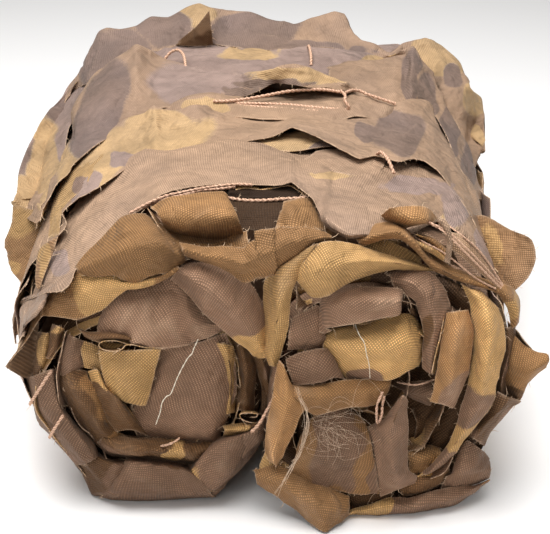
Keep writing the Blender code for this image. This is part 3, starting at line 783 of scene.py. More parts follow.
def makeRollEnd(name, end):
    # rings from inside the net out over the rim and in to the middle, sunk along a spiral of rounded turns
    share = np.concatenate([[1.0, 1.0], np.linspace(1, 0.03, 45)])
    angle = np.linspace(0, 2 * math.pi, 130, endpoint=False)
    ring, around = np.meshgrid(share, angle, indexing="ij")
    radius = rimRadius(end, around) * ring
    edges = np.array(end["edges"])
    turn = np.interp(ring, edges, np.arange(len(edges)))
    phase = (turn - (around - end["start"]) / (2 * math.pi)) % 1.0
    depth = end["groove"] * (1 - np.sqrt(np.abs(np.sin(math.pi * phase)))) * np.minimum(1, 3 * ring)
    depth += end["sunk"] * (1 - ring) + 5 * ring**5
    s, t = radius * np.cos(around), radius * np.sin(around)
    fold = creases(s, t, end["seed"], 40, 2.2, 4, 16)
    depth = depth + fold + 1.2 * smoothNoise(s, t, 12, end["seed"] + 1)
    depth[:2] = [[end["reach"]], [9]]
    points = np.stack([end["x"] + s, end["y"] - end["facing"] * depth, np.maximum(end["z"] + t, 0.6)], -1)
    if end["facing"] > 0:
        points = points[:, ::-1]
        fold = fold[:, ::-1]
    uv = points[..., [0, 2]]
    look = dict(plainLook, mix=(0.22, 0.30, 0.20), seed=end["seed"])
    # the roll ends take painted shade over their whole face
    wearAndPaintedLight = np.stack([0 * fold, np.clip(-fold / 2, 0, 1), 0.55 + 0 * fold, 0 * fold], -1)
    fields = {"patches": camouflage(points[..., 0], points[..., 2], look, s, t), "wearAndPaintedLight": wearAndPaintedLight}
    piece = gridObject(name, points, uv, fields, True)
    piece.data.materials.append(clothMaterials["brown"])
    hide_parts("wound_net")


def turnStations(end, first, last, lean, depth, seed):
    # one stretch of the spiral: its radius share grows with the angle, and the cloth runs from inside the
    # roll out to its end, where the edge leans in or out a little
    angles = np.linspace(first, last, max(4, int((last - first) * 5)))
    random = np.random.default_rng(seed)
    stations = []
    for angle in angles:
        share = 0.10 + 0.86 * angle / (2 * math.pi * end["turns"])
        turned = angle + end["startTurn"]
        radius = float(rimRadius(end, math.remainder(turned, 2 * math.pi))) * share
        out = random.uniform(-2.5, 2.0)
        row = []
        for k, inward in enumerate((depth, depth * 0.5, 2.5, 0)):
            reach = radius + lean * (k / 3) ** 2 + random.uniform(-0.8, 0.8)
            row.append((
                end["x"] + reach * math.cos(turned), end["turnsY"] + end["facing"] * (out - inward),
                max(1.2, end["z"] + reach * math.sin(turned)),
            ))
        stations.append(row)
    return stations


makeWoundNet()
for name, end in rollEnds.items():
    makeRollEnd(name, end)
    first, last, stretch = 0.6, 2 * math.pi * end["turns"], 0
    random = np.random.default_rng(end["seed"] + 50)
    while first < last - 0.8:
        until = min(last, first + random.uniform(2.2, 4.6))
        lean = random.uniform(-3.5, 2.5)
        makeCloth(f"{name}Turn{stretch}", dict(
            stations=turnStations(end, first, until, lean, 17, end["seed"] * 10 + stretch),
            colour=random.choice(["tan", "olive", "mauve", "brown"], p=[0.3, 0.25, 0.25, 0.2]),
            seed=end["seed"] * 7 + stretch, mix=(0.16, 0.16, 0.05), cut=(3.0, 13.0), crease=1.0, wave=0.7,
            waveSize=9, step=1.7, keep="a", shade=0.12, stiff=0.2,
        ))
        first, stretch = until - random.uniform(0.1, 0.5), stretch + 1
print("wound net made")


# garnish strips over the deck: the rows are onDeck's, and a row's first point is on the strip's front edge

deckStrips = {
    "frontStrip": dict(node="front_strip", behind=[(22, 352, 1.2)], swell=1, weave=0.75, under="tan",
        seed=101, stiff=0.5, cut=(1.2, 13), crease=0.7, creases=60, creaseWidth=4, creaseLength=22,
        wave=0.7, waveSize=24, patches=[(1, 415, 186, 34, 9), (1, 455, 208, 16, 26), (1, 484, 246, 9, 26),
        (0, 452, 222, 9, 11), (1, 60, 262, 11, 16), (0, 330, 176, 22, 4)], stations=[
        [24, 346, 4, 23, 343, 3, 21, 340, 2], [38, 322, 5, 34, 316, 4, 31, 313, 2],
        [48, 312, 4, 44, 300, 4, 41, 296, 2], [62, 292, 4, 54, 280, 4, 46, 280, 2],
        [76, 268, 4, 66, 262, 4, 56, 259, 2], [92, 247, 4, 80, 240, 5, 68, 237, 2],
        [112, 230, 4, 98, 220, 5, 84, 215, 2], [130, 214, 6, 116, 204, 5, 100, 200, 2],
        [150, 203, 7, 134, 190, 6, 118, 180, 2], [165, 195, 8, 153, 176, 6, 145, 152, 7],
        [185, 190, 8, 172, 172, 6, 165, 153, 7], [210, 185, 8, 200, 168, 6, 195, 148, 7],
        [235, 184, 8, 228, 166, 6, 225, 143, 7], [260, 184, 8, 255, 168, 6, 252, 144, 7],
        [280, 184, 8, 275, 170, 6, 272, 148, 6], [294, 181, 10, 290, 172, 7, 288, 153, 5],
        [303, 189, 8, 302, 178, 6, 302, 160, 4], [311, 199, 6, 316, 186, 5, 322, 166, 4],
        [318, 212, 3, 321, 205, 4, 325, 185, 5, 330, 167, 3],
        [326, 226, 0, 327, 221, 4, 330, 200, 5, 337, 168, 3],
        [345, 238, 0, 346, 233, 4, 352, 205, 5, 365, 172, 3],
        [364, 240, -1, 368, 233, 4, 375, 205, 5, 392, 173, 3],
        [400, 239, -1, 404, 230, 4, 412, 205, 5, 428, 178, 3],
        [437, 222, 4, 440, 218, 5, 444, 204, 4, 452, 188, 3],
        [460, 234, 4, 461, 228, 5, 463, 214, 4, 466, 204, 2],
        [482, 254, 4, 480, 246, 5, 477, 236, 4, 474, 222, 2],
        [498, 284, 3, 495, 272, 4, 490, 258, 3, 484, 240, 2],
    ]),
    "secondStrip": dict(node="second_strip", behind=[(22, 352, 1.2)], weave=0.5, swell=1.2, under="tan",
        seed=102, shade=0.05, stiff=0.55, cut=(1.6, 12), crease=1.1, creases=60, creaseWidth=2.4, wave=0.9,
        waveSize=20, patches=[(0, 165, 137, 50, 26), (0, 108, 160, 46, 20, -40), (1, 124, 160, 14, 8),
        (2, 400, 134, 26, 23), (2, 366, 132, 10, 9), (1, 90, 186, 22, 8, -50)], stations=[
        (-196, [(48, 8), (70, 5), (96, 1.7)]), [62, 231, 7, 59, 226, 5, 56, 220, 3],
        [62, 213, 9, 61, 206, 7, 60, 197, 3], [80, 200, 8, 75, 190, 6, 68, 178, 3],
        [100, 187, 6, 90, 172, 5, 82, 161, 3], [123, 171, 4, 112, 152, 4, 102, 141, 3],
        [135, 163, 2, 127, 140, 4, 123, 121, 5], [145, 158, 2, 143, 135, 5, 142, 113, 8],
        [156, 160, 2, 154, 132, 8, 155, 104, 15], [170, 158, 2, 168, 134, 5, 168, 110, 9],
        [197, 154, 2, 197, 130, 6, 197, 106, 12], [215, 150, 2, 214, 132, 5, 213, 118, 7, 214, 110, 3],
        [240, 148, 2, 238, 135, 4, 236, 122, 5, 236, 112, 2],
        [250, 142, 6, 252, 134, 6, 254, 124, 5, 255, 114, 2],
        [272, 137, 9, 273, 131, 8, 275, 125, 5, 276, 114, 2],
        [293, 128, 14, 294, 122, 9, 296, 114, 5, 298, 107, 3],
        [310, 136, 12, 312, 126, 8, 314, 114, 5, 315, 107, 3],
        [325, 144, 10, 328, 131, 7, 330, 117, 4, 332, 107, 3],
        [340, 152, 9, 344, 136, 6, 347, 120, 4, 349, 108, 3],
        [358, 160, 8, 362, 142, 6, 362, 124, 5, 362, 108, 3],
        [377, 156, 8, 380, 138, 6, 382, 122, 4, 384, 108, 3],
        [400, 163, 10, 402, 142, 6, 404, 122, 5, 404, 102, 8],
        [412, 160, 7, 414, 142, 7, 415, 120, 6, 417, 100, 9],
        [424, 163, 6, 424, 146, 6, 424, 122, 6, 427, 101, 9],
        [437, 172, 5, 435, 150, 5, 433, 128, 5, 433, 106, 6],
        [445, 182, 4, 444, 164, 4, 441, 146, 4, 438, 125, 4],
        [452, 192, 3, 452, 175, 3, 450, 160, 3, 446, 144, 3],
        [470, 214, 4, 470, 200, 3, 466, 185, 2, 460, 168, 2],
        [481, 232, 4, 480, 220, 3, 476, 206, 2, 472, 192, 2], (150, [(72, 8), (98, 5), (128, 1.7)]),
        (178, [(64, 8), (88, 5), (118, 1.7)]),
    ]),
    "flankGold": dict(colour="olive", under="olive", seed=113, paintedSheen=0.6, shade=0.3, stiff=0.5, crease=0.5,
        creases=12, wave=0.4, patches=[(1, 80, 186, 9, 10)], stations=[
        [58, 236, 6, 53, 238, 5, 49, 240, 3], [61, 214, 7, 57, 212, 6, 52, 210, 3],
        [70, 201, 8, 66, 194, 6, 60, 188, 3], [85, 189, 7, 78, 178, 5, 71, 168, 3],
        [97, 175, 5, 90, 163, 4, 84, 154, 3], [106, 170, 2, 103, 158, 3, 98, 144, 2],
        [118, 158, 0, 116, 146, 2, 113, 132, 1],
    ]),
    "flankCurl": dict(under="olive", seed=114, paintedSheen=0.4, shade=0.35, stiff=0.3, cut=(1, 7), crease=0.5,
        creases=6, wave=0.4, held="folded", patches=[(0, 46, 262, 7, 22)], stations=[
        [58, 236, 8, 48, 241, 10, 39, 250, 8], [53, 251, 6, 44, 254, 8, 37, 258, 8],
        [47, 268, 4, 41, 270, 6, 36, 275, 7], [40, 290, 3, 38, 289, 4, 36, 288, 5],
    ]),
    "thirdStrip": dict(node="third_strip", behind=[(22, 352, 1.2)], weave=0.5, swell=1.2, seed=103,
        shade=0.1, stiff=0.5, cut=(1.4, 12), crease=1.3, creases=40, wave=1, waveSize=20,
        patches=[(0, 205, 106, 28, 8)], stations=[
        [160, 116, 2, 165, 106, 4, 166, 102, 2], [178, 114, 3, 180, 103, 6, 181, 99, 3],
        [195, 112, 3, 196, 99, 8, 197, 95, 4], [212, 114, 3, 212, 97, 8, 212, 93, 4],
        [230, 118, 3, 230, 102, 6, 230, 97, 3], [260, 122, 3, 260, 106, 5, 260, 97, 3],
        [300, 122, 3, 300, 106, 5, 300, 96, 3], [340, 122, 3, 340, 104, 6, 340, 96, 3],
        [355, 118, 4, 352, 97, 8, 351, 92, 4], [370, 118, 4, 368, 98, 8, 367, 93, 4],
        [385, 118, 4, 385, 105, 7, 385, 99, 3], [400, 116, 3, 400, 108, 4, 400, 103, 2],
    ]),
    "fourthStrip": dict(node="fourth_strip", behind=[(22, 352, 1.2)], weave=0.5, swell=1.2, under="olive",
        seed=104, shade=0.12, stiff=0.5, cut=(1.2, 12), crease=1.8, creases=70, creaseWidth=2.4,
        creaseLength=18, wave=1.2, waveSize=20, patches=[(2, 104, 102, 58, 22, 117), (1, 190, 82, 58, 26),
        # the brown patches along the lip's underside, at 274, 84 and 240, 94, are painted shade
        (0, 298, 75, 60, 9), (2, 274, 84, 34, 5), (2, 240, 94, 20, 7), (0, 70, 165, 16, 26)], stations=[
        (-198, [(136, 9), (150, 9), (164, 5), (196, 1.7)]),
        (-172, [(150, 10), (166, 10), (180, 5), (214, 1.7)]), [36, 221, 9, 41, 207, 7, 50, 186, 4],
        [42, 208, 10, 48, 190, 6, 58, 172, 4], [57, 191, 9, 60, 172, 5, 64, 152, 3],
        [70, 173, 8, 70, 155, 5, 71, 132, 3], [85, 158, 5, 80, 138, 6, 76, 112, 9, 77, 105, 4],
        [97, 147, 4, 86, 122, 8, 83, 95, 12, 85, 88, 6], [110, 137, 3, 100, 104, 11, 95, 75, 16],
        [123, 126, 3, 115, 88, 14, 112, 62, 19], [127, 122, 3, 129, 84, 15, 129, 50, 22],
        [135, 120, 3, 137, 82, 16, 138, 44, 25], [146, 116, 3, 147, 84, 12, 148, 50, 19],
        [160, 112, 3, 160, 84, 9, 160, 56, 14], [180, 110, 3, 180, 86, 8, 181, 64, 11],
        [205, 108, 3, 205, 88, 8, 205, 69, 10], [222, 101, 3, 225, 88, 8, 228, 73, 11],
        [238, 97, 4, 240, 84, 10, 241, 75, 13], [248, 96, 6, 249, 84, 12, 251, 73, 16],
        [264, 88, 11, 264, 79, 15, 265, 71, 19], [278, 82, 14, 278, 75, 19, 279, 68, 23],
        [293, 86, 14, 293, 76, 19, 293, 66, 24], [308, 88, 13, 308, 78, 18, 308, 68, 22],
        [325, 89, 12, 326, 83, 14, 327, 76, 17], [340, 91, 10, 342, 88, 11, 344, 85, 12],
        [354, 92, 8, 355, 91, 8, 357, 90, 8],
    ]),
    "fourthRight": dict(behind=[(22, 352, 1.2)], weave=0.5, swell=1.2, under="olive", seed=115, shade=0.12,
        stiff=0.5, cut=(1.4, 12), crease=1.8, creases=40, creaseWidth=2.4, creaseLength=18, wave=1.1,
        waveSize=20, patches=[(2, 410, 78, 10, 36), (2, 428, 96, 10, 24), (2, 448, 132, 10, 28),
        (2, 468, 166, 10, 26)], stations=[
        [330, 82, 3, 329, 75, 5, 328, 68, 7], [345, 93, 4, 346, 76, 8, 347, 61, 10],
        [362, 99, 4, 364, 78, 8, 365, 60, 11], [380, 108, 3, 381, 82, 8, 382, 59, 12],
        [393, 112, 3, 394, 84, 10, 395, 56, 15], [402, 112, 3, 403, 84, 10, 404, 55, 15],
        [410, 110, 3, 412, 80, 15, 412, 48, 22], [420, 110, 3, 420, 86, 12, 420, 62, 16],
        [430, 112, 3, 430, 92, 9, 431, 74, 12], [438, 122, 3, 439, 106, 6, 440, 92, 9],
        [448, 145, 3, 450, 128, 5, 450, 112, 7], [462, 172, 3, 464, 155, 4, 461, 138, 5],
        [478, 198, 3, 477, 182, 3, 474, 164, 3], (152, [(172, 9), (188, 9), (202, 5), (234, 1.7)]),
        (180, [(152, 9), (166, 9), (180, 5), (218, 1.7)]),
    ]),
    "fifthStrip": dict(node="fifth_strip", behind=[(22, 352, 1.2)], weave=0.5, swell=1.2, colour="mauve",
        seed=105, shade=0.15, stiff=0.5, cut=(1.4, 12), crease=1.6, creases=50, wave=1.1, waveSize=20,
        patches=[(0, 250, 54, 37, 6), (0, 46, 165, 16, 44), (0, 24, 205, 16, 30), (0, 385, 60, 24, 8)],
        stations=[
        (-196, [(190, 9), (220, 6), (256, 1.7)]), (-178, [(200, 9), (232, 6), (268, 1.7)]),
        [40, 222, 5, 28, 212, 4, 13, 203, 3], [46, 204, 4, 32, 196, 4, 18, 186, 3],
        [57, 184, 3, 38, 174, 4, 20, 168, 3], [63, 160, 3, 44, 150, 4, 29, 145, 3],
        [70, 135, 3, 52, 128, 4, 40, 124, 3], [76, 118, 3, 60, 112, 4, 49, 111, 3],
        [84, 104, 3, 72, 94, 5, 64, 94, 4], [100, 82, 3, 90, 74, 5, 84, 68, 5],
        [112, 74, 3, 108, 62, 5, 104, 54, 5], [150, 66, 3, 152, 56, 5, 154, 46, 5],
        [180, 76, 3, 180, 60, 6, 180, 44, 6], [212, 80, 3, 212, 64, 6, 213, 44, 6],
        [245, 84, 3, 245, 66, 6, 245, 48, 6], [275, 80, 3, 275, 64, 6, 275, 48, 6],
        [305, 80, 3, 305, 62, 6, 305, 46, 6], [335, 80, 3, 335, 62, 6, 335, 46, 6],
        [360, 76, 3, 360, 62, 5, 360, 50, 5], [390, 70, 3, 390, 60, 4, 390, 50, 4],
        [412, 66, 3, 413, 56, 4, 414, 48, 4], [432, 86, 3, 436, 78, 3, 440, 70, 3],
        [444, 108, 3, 450, 98, 3, 456, 90, 3], [466, 146, 3, 470, 136, 3, 474, 126, 3],
        (152, [(220, 11), (248, 7), (286, 1.7)]), (180, [(212, 9), (238, 6), (272, 1.7)]),
    ]),
    "rearStrip": dict(node="rear_strip", behind=[(60, 364, 1), (90, 378, -8), (95, 379, -22)], weave=0.4,
        swell=1.2, under="olive", seed=106, shade=0.15, stiff=0.5, cut=(1.4, 12), crease=1.8, creases=70,
        creaseWidth=2.4, wave=1.2, waveSize=20, patches=[(2, 112, 58, 48, 40), (2, 165, 32, 30, 18),
        (2, 255, 34, 52, 20), (2, 300, 52, 70, 9), (0, 194, 14, 20, 14), (0, 440, 56, 34, 18),
        (0, 476, 100, 12, 18), (2, 452, 78, 14, 12, 40)], stations=[
        (-190, [(248, 9), (290, 5), (326, 1.3), (352, 3)]),
        (-168, [(266, 10), (304, 8), (340, 6), (362, 0)]), [66, 102, 4, 68, 94, 5, 70, 88, 5],
        [74, 90, 7, 75, 84, 9, 78, 76, 9], [88, 84, 6, 84, 72, 9, 85, 62, 10],
        [104, 72, 5, 97, 56, 11, 95, 46, 12], [118, 62, 5, 108, 46, 13, 100, 33, 17],
        [128, 56, 5, 124, 42, 12, 120, 31, 15], [140, 54, 5, 138, 38, 12, 137, 27, 14],
        [152, 52, 5, 150, 32, 13, 149, 18, 17], [168, 50, 6, 168, 32, 12, 170, 17, 16],
        [177, 46, 6, 180, 26, 15, 184, 7, 21], [190, 46, 6, 195, 22, 19, 198, 2, 26],
        [211, 45, 6, 211, 24, 17, 211, 6, 24], [225, 49, 6, 228, 28, 12, 231, 10, 20],
        [250, 51, 5, 250, 32, 12, 250, 12, 19], [275, 50, 6, 275, 36, 11, 275, 20, 17],
        [291, 51, 6, 292, 38, 10, 292, 26, 14], [308, 47, 7, 310, 34, 12, 312, 18, 18],
        [330, 47, 7, 332, 30, 14, 334, 12, 21], [345, 51, 6, 346, 36, 12, 347, 20, 18],
        [(358, 53, 6), (360, 46, 9), (361, 41, 10), (361, 60, 0, 345)],
        [(371, 58, 5), (374, 48, 9), (377, 44, 10), (377, 62, 0, 345)],
        [(388, 58, 5), (389, 56, 7), (390, 52, 7), (390, 68, 0, 345)],
        [(402, 56, 5), (403, 50, 9), (404, 44, 11), (404, 60, 0, 345)],
        [418, 66, 4, 422, 50, 12, 425, 38, 18], [432, 80, 4, 438, 60, 14, 443, 44, 19],
        [440, 96, 4, 450, 74, 16, 459, 62, 20], [446, 110, 4, 458, 90, 16, 470, 88, 20],
        [454, 122, 3, 466, 108, 13, 480, 100, 19], [463, 142, 3, 473, 126, 9, 485, 122, 16],
        [476, 168, 3, 480, 154, 7, 484, 150, 12], (152, [(274, 11), (306, 10), (338, 8), (360, 1)]),
        (176, [(262, 9), (294, 5), (326, 1.3), (350, 3)]),
    ]),
    "rightLeafHigh": dict(node="right_leaf_high", under="tan", seed=108, paintedSheen=0.3, shade=0.35, stiff=0.3,
        cut=(0.5, 12), nick=0.15, wave=0.4, creases=6, crease=0.5, patches=[(0, 490, 244, 13, 26, -18)],
        stations=[
        [(466, 218, 0, 92), (482, 214, 0, 84), (494, 219, 0, 78)],
        [(470, 236, 0, 82), (488, 230, 0, 72), (510, 229, 0, 62)],
        [(474, 252, 0, 76), (500, 246, 0, 60), (532, 240, 0, 50)],
        [(480, 268, 0, 68), (506, 262, 0, 50), (536, 258, 0, 40)],
        [(486, 282, 0, 58), (508, 278, 0, 42), (529, 278, 0, 35)],
        [(494, 293, 0, 48), (503, 293, 0, 38), (512, 293, 0, 33)],
    ]),
    "leftLeafHigh": dict(node="left_leaf_high", under="tan", seed=107, paintedSheen=0.2, stiff=0.4, cut=(1.6, 7),
        nick=0.9, creases=14, crease=0.8, shade=0.6, patches=[(0, 12, 268, 12, 7), (0, 28, 212, 30, 24)],
        stations=[
        [(52, 214, 0, 98), (32, 208, 0, 100), (14, 202, 0, 112)],
        [(52, 232, 0, 86), (30, 228, 0, 90), (10, 226, 0, 98)],
        [(50, 248, 0, 80), (26, 245, 0, 84), (3, 243, 0, 90)],
        [(50, 260, 0, 74), (26, 258, 0, 78), (5, 257, 0, 84)],
        [(49, 274, 0, 66), (28, 271, 0, 70), (10, 271, 0, 76)],
        [(48, 288, 0, 58), (32, 284, 0, 60), (18, 279, 0, 66)],
        [(50, 302, 0, 50), (36, 298, 0, 52), (24, 290, 0, 56)],
    ]),
    "rightLeafLow": dict(node="right_leaf_low", under="tan", seed=109, paintedSheen=0.4, shade=0.4,
        mix=(0, 0.1, 0), stiff=0.4, cut=(2.5, 9), wave=1.2, stations=[
        (154, [(22, 6.8), (8, 9), (-2, 10)]), (168, [(24, 6.4), (8, 12), (-5, 19)]),
        (180, [(22, 6.2), (7, 9), (-3, 13)]), (194, [(18, 6.2), (8, 7), (2, 8)]),
    ]),
    "leftLeafLow": dict(node="left_leaf_low", seed=110, shade=0.4, paintedSheen=0, stiff=0.4, cut=(0.5, 9),
        wave=0.4, creases=3, stations=[
        [(46, 300, 0, 7), (40, 304, 0, 9), (34, 312, 0, 14)],
        [(40, 318, 0, 2), (32, 326, 0, 5), (25, 335, 0, 10)],
        [(29, 336, 0, 0), (21, 346, 0, 3), (16, 352, 0, 8)],
        [(14, 357, 0, -1), (9, 363, 0, 1), (5, 368, 0, 5)],
    ]),
    "leafInside": dict(colour="brown", seed=122, paintedSheen=0, stiff=0.4, cut=(0.5, 9), wave=0.5, shade=0.6,
        creases=4, stations=[
        [(40, 320, 0, 6), (38, 346, 0, 5), (35, 374, 0, 3)],
        [(26, 337, 0, 4), (25, 356, 0, 3), (26, 379, 0, 1)],
        [(14, 356, 0, 2), (13, 365, 0, 1), (15, 374, 0, -1)],
        [(7, 365, 0, 1), (7, 368, 0, 0), (8, 371, 0, -1)],
    ]),
    "lipTongue": dict(colour="olive", seed=111, mix=(0, 0, 0.3), stiff=0.4, cut=(1, 9), wave=0.6, stations=[
        [246, 146, 3, 249, 142, 4, 252, 139, 4], [268, 149, 5, 272, 143, 6, 276, 134, 5],
        [290, 152, 6, 294, 142, 7, 300, 130, 6], [312, 149, 6, 316, 142, 7, 318, 134, 6],
        [332, 147, 5, 336, 143, 6, 338, 139, 5],
    ]),
    "lowTongue": dict(seed=116, mix=(0, 0, 0.2), stiff=0.4, cut=(0.8, 9), wave=0.6, stations=[
        [296, 162, 3, 306, 158, 4, 318, 152, 4], [322, 170, 4, 332, 160, 5, 344, 148, 5],
        [348, 175, 4, 356, 164, 5, 364, 154, 5], [376, 176, 3, 382, 168, 4, 388, 160, 4],
    ]),
    "archDark": dict(seed=117, paintedSheen=0, stiff=0.3, cut=(0.6, 9), wave=0.4, shade=0.35,
        # the brown band along its lower part is painted shade under the lip
        patches=[(2, 278, 96, 58, 9)], stations=[
        [226, 102, 1, 232, 94, 3, 238, 81, 7], [262, 101, 1, 262, 88, 4, 264, 73, 11],
        [300, 100, 1, 300, 89, 4, 300, 76, 11], [328, 98, 1, 330, 92, 3, 333, 85, 7],
    ]),
    # dark cloth in the front strip's opening, darkened further by painted shade
    "openingCloth": dict(colour="brown", seed=118, paintedSheen=0, mix=(0, 0.3, 0), stiff=0.3, cut=(0.3, 9),
        wave=0.6, shade=1.1, stations=[
        [(222, 199, 0, 34), (228, 212, 0, 20), (236, 230, 0, 11)],
        [(250, 199, 0, 34), (250, 212, 0, 20), (252, 230, 0, 9)],
        [(272, 199, 0, 34), (272, 212, 0, 20), (274, 230, 0, 9)],
        [(290, 199, 0, 34), (288, 212, 0, 20), (284, 230, 0, 11)],
    ]),
    # a near-black sheet of painted shadow in the slot under the front strip's edge
    "openingSlotShadow": dict(colour="brown", seed=119, paintedSheen=0, stiff=0.3, cut=(0.2, 9), wave=0.3, shade=1.3,
        stations=[
        [(224, 199, 0, 35), (232, 189, 0, 44)], [(250, 199, 0, 35), (250, 186, 0, 48)],
        [(276, 199, 0, 35), (276, 185, 0, 49)], [(300, 198, 0, 36), (297, 186, 0, 48)],
        [(308, 197, 0, 38), (304, 190, 0, 46)],
    ]),
    "openingEdge": dict(colour="olive", under="tan", seed=120, paintedSheen=0, stiff=0.1, cut=(0.2, 6), creases=1,
        crease=0.2, wave=0.2, step=1.2, stations=[
        [(233, 191, 0, 42), (235, 187, 0, 47)], [(246, 188.5, 0, 44), (247, 185, 0, 49)],
        [(262, 190, 0, 42), (263, 186, 0, 48)], [(284, 187, 0, 45), (286, 184, 0, 50)],
        [(294, 187, 0, 43), (297, 183, 0, 49)], [(306, 198, 0, 34), (309, 195, 0, 40)],
    ]),
    "openingRight": dict(under="olive", seed=121, shade=0.35, paintedSheen=0, stiff=0.3, cut=(0.4, 9), wave=0.4,
        creases=3, stations=[
        [(283, 201, 0, 28), (279, 212, 0, 18), (274, 228, 0, 7)],
        [(294, 199, 0, 26), (290, 213, 0, 10), (294, 231, 0, 3)],
        [(305, 198, 0, 30), (308, 212, 0, 18), (312, 231, 0, 6)],
        [(310, 199, 0, 34), (319, 212, 0, 24), (327, 231, 0, 12)],
    ]),
    "tuftFront": dict(seed=112, paintedSheen=0, shade=0.5, stiff=0.5, cut=(0.4, 9), wave=0.3, held="folded",
        crease=0.4, creases=4, stations=[
        [175, 45, 7, 177, 44, 8, 179, 42, 9], [194, 46, 8, 195, 37, 15, 196, 27, 21],
        [207, 46, 8, 208, 30, 20, 209, 12, 27], [214, 45, 8, 212, 30, 20, 210, 11, 27],
    ]),
}
deckLook = dict(patchesInView=True, held="laid", mix=(0, 0, 0), under="brown")
for name, look in deckStrips.items():
    makeCloth(name, {**deckLook, **look}, deckPoint)
print("deck strips made")


# strips low on the flanks and under the bundle, each lapping over the one behind it

flankStrips = dict(
    left=(-158, -322), right=(138, 304), seeds=dict(left=300, right=340), rows=9, firstY=3, everyY=37,
    wide=60, sweep=30, tucked=0.4,
)


def flankStations(near, far, y, seed):
    # the front edge sweeps forward down the flank, and lifts off the net where a leaf has curled
    random = np.random.default_rng(seed)
    near = near + random.uniform(-16, 6) * math.copysign(1, far - near)
    stations = []
    for share in np.linspace(0, 1, 9):
        front = max(3, y - flankStrips["sweep"] * math.sin(1.4 * share) + random.uniform(-9, 9))
        lift = 1 + random.uniform(2, 10) * max(0.0, 1 - 1.8 * share)
        tucked = flankStrips["tucked"] * max(0, 16 - front)  # the rim of the roll turns inwards here
        stations.append((near + (far - near) * share, [
            (front, max(1.2, lift) - tucked), (max(16, front + 13), max(1.0, lift * 0.6)),
            (min(352, front + 0.55 * flankStrips["wide"]), 1.0), (min(356, front + flankStrips["wide"]), 0.4),
        ]))
    return stations


for side, firstSeed in flankStrips["seeds"].items():
    for row in range(flankStrips["rows"]):
        seed, y = firstSeed + row, flankStrips["firstY"] + row * flankStrips["everyY"]
        random = np.random.default_rng(seed)
        makeCloth(f"{side}FlankStrip{row}", dict(
            stations=flankStations(*flankStrips[side], y, seed),
            colour=random.choice(["tan", "olive", "mauve"], p=[0.5, 0.2, 0.3]),
            under=random.choice(["olive", "brown", "tan"]), seed=seed, mix=(0.2, 0.24, 0.08), cut=(5.5, 13),
            nick=0.8, wave=0.7, waveSize=15, swell=0.5, keep="b", held="laid", step=3.2, weave=0.8,
        ), deckPoint)
print("flank strips made")


# the cloth that shows at the rolls' front ends

frontEndLook = dict(mix=(0, 0, 0), under="brown")


def makeFrontEnd(side, looks):
    # the pieces of one roll's front end, from a close-up's rows
    for name, look in looks.items():
        look = {**frontEndLook, **look}
        makeCloth(name, {**look, "stations": closeUp(look.get("view", side), look["stations"])})


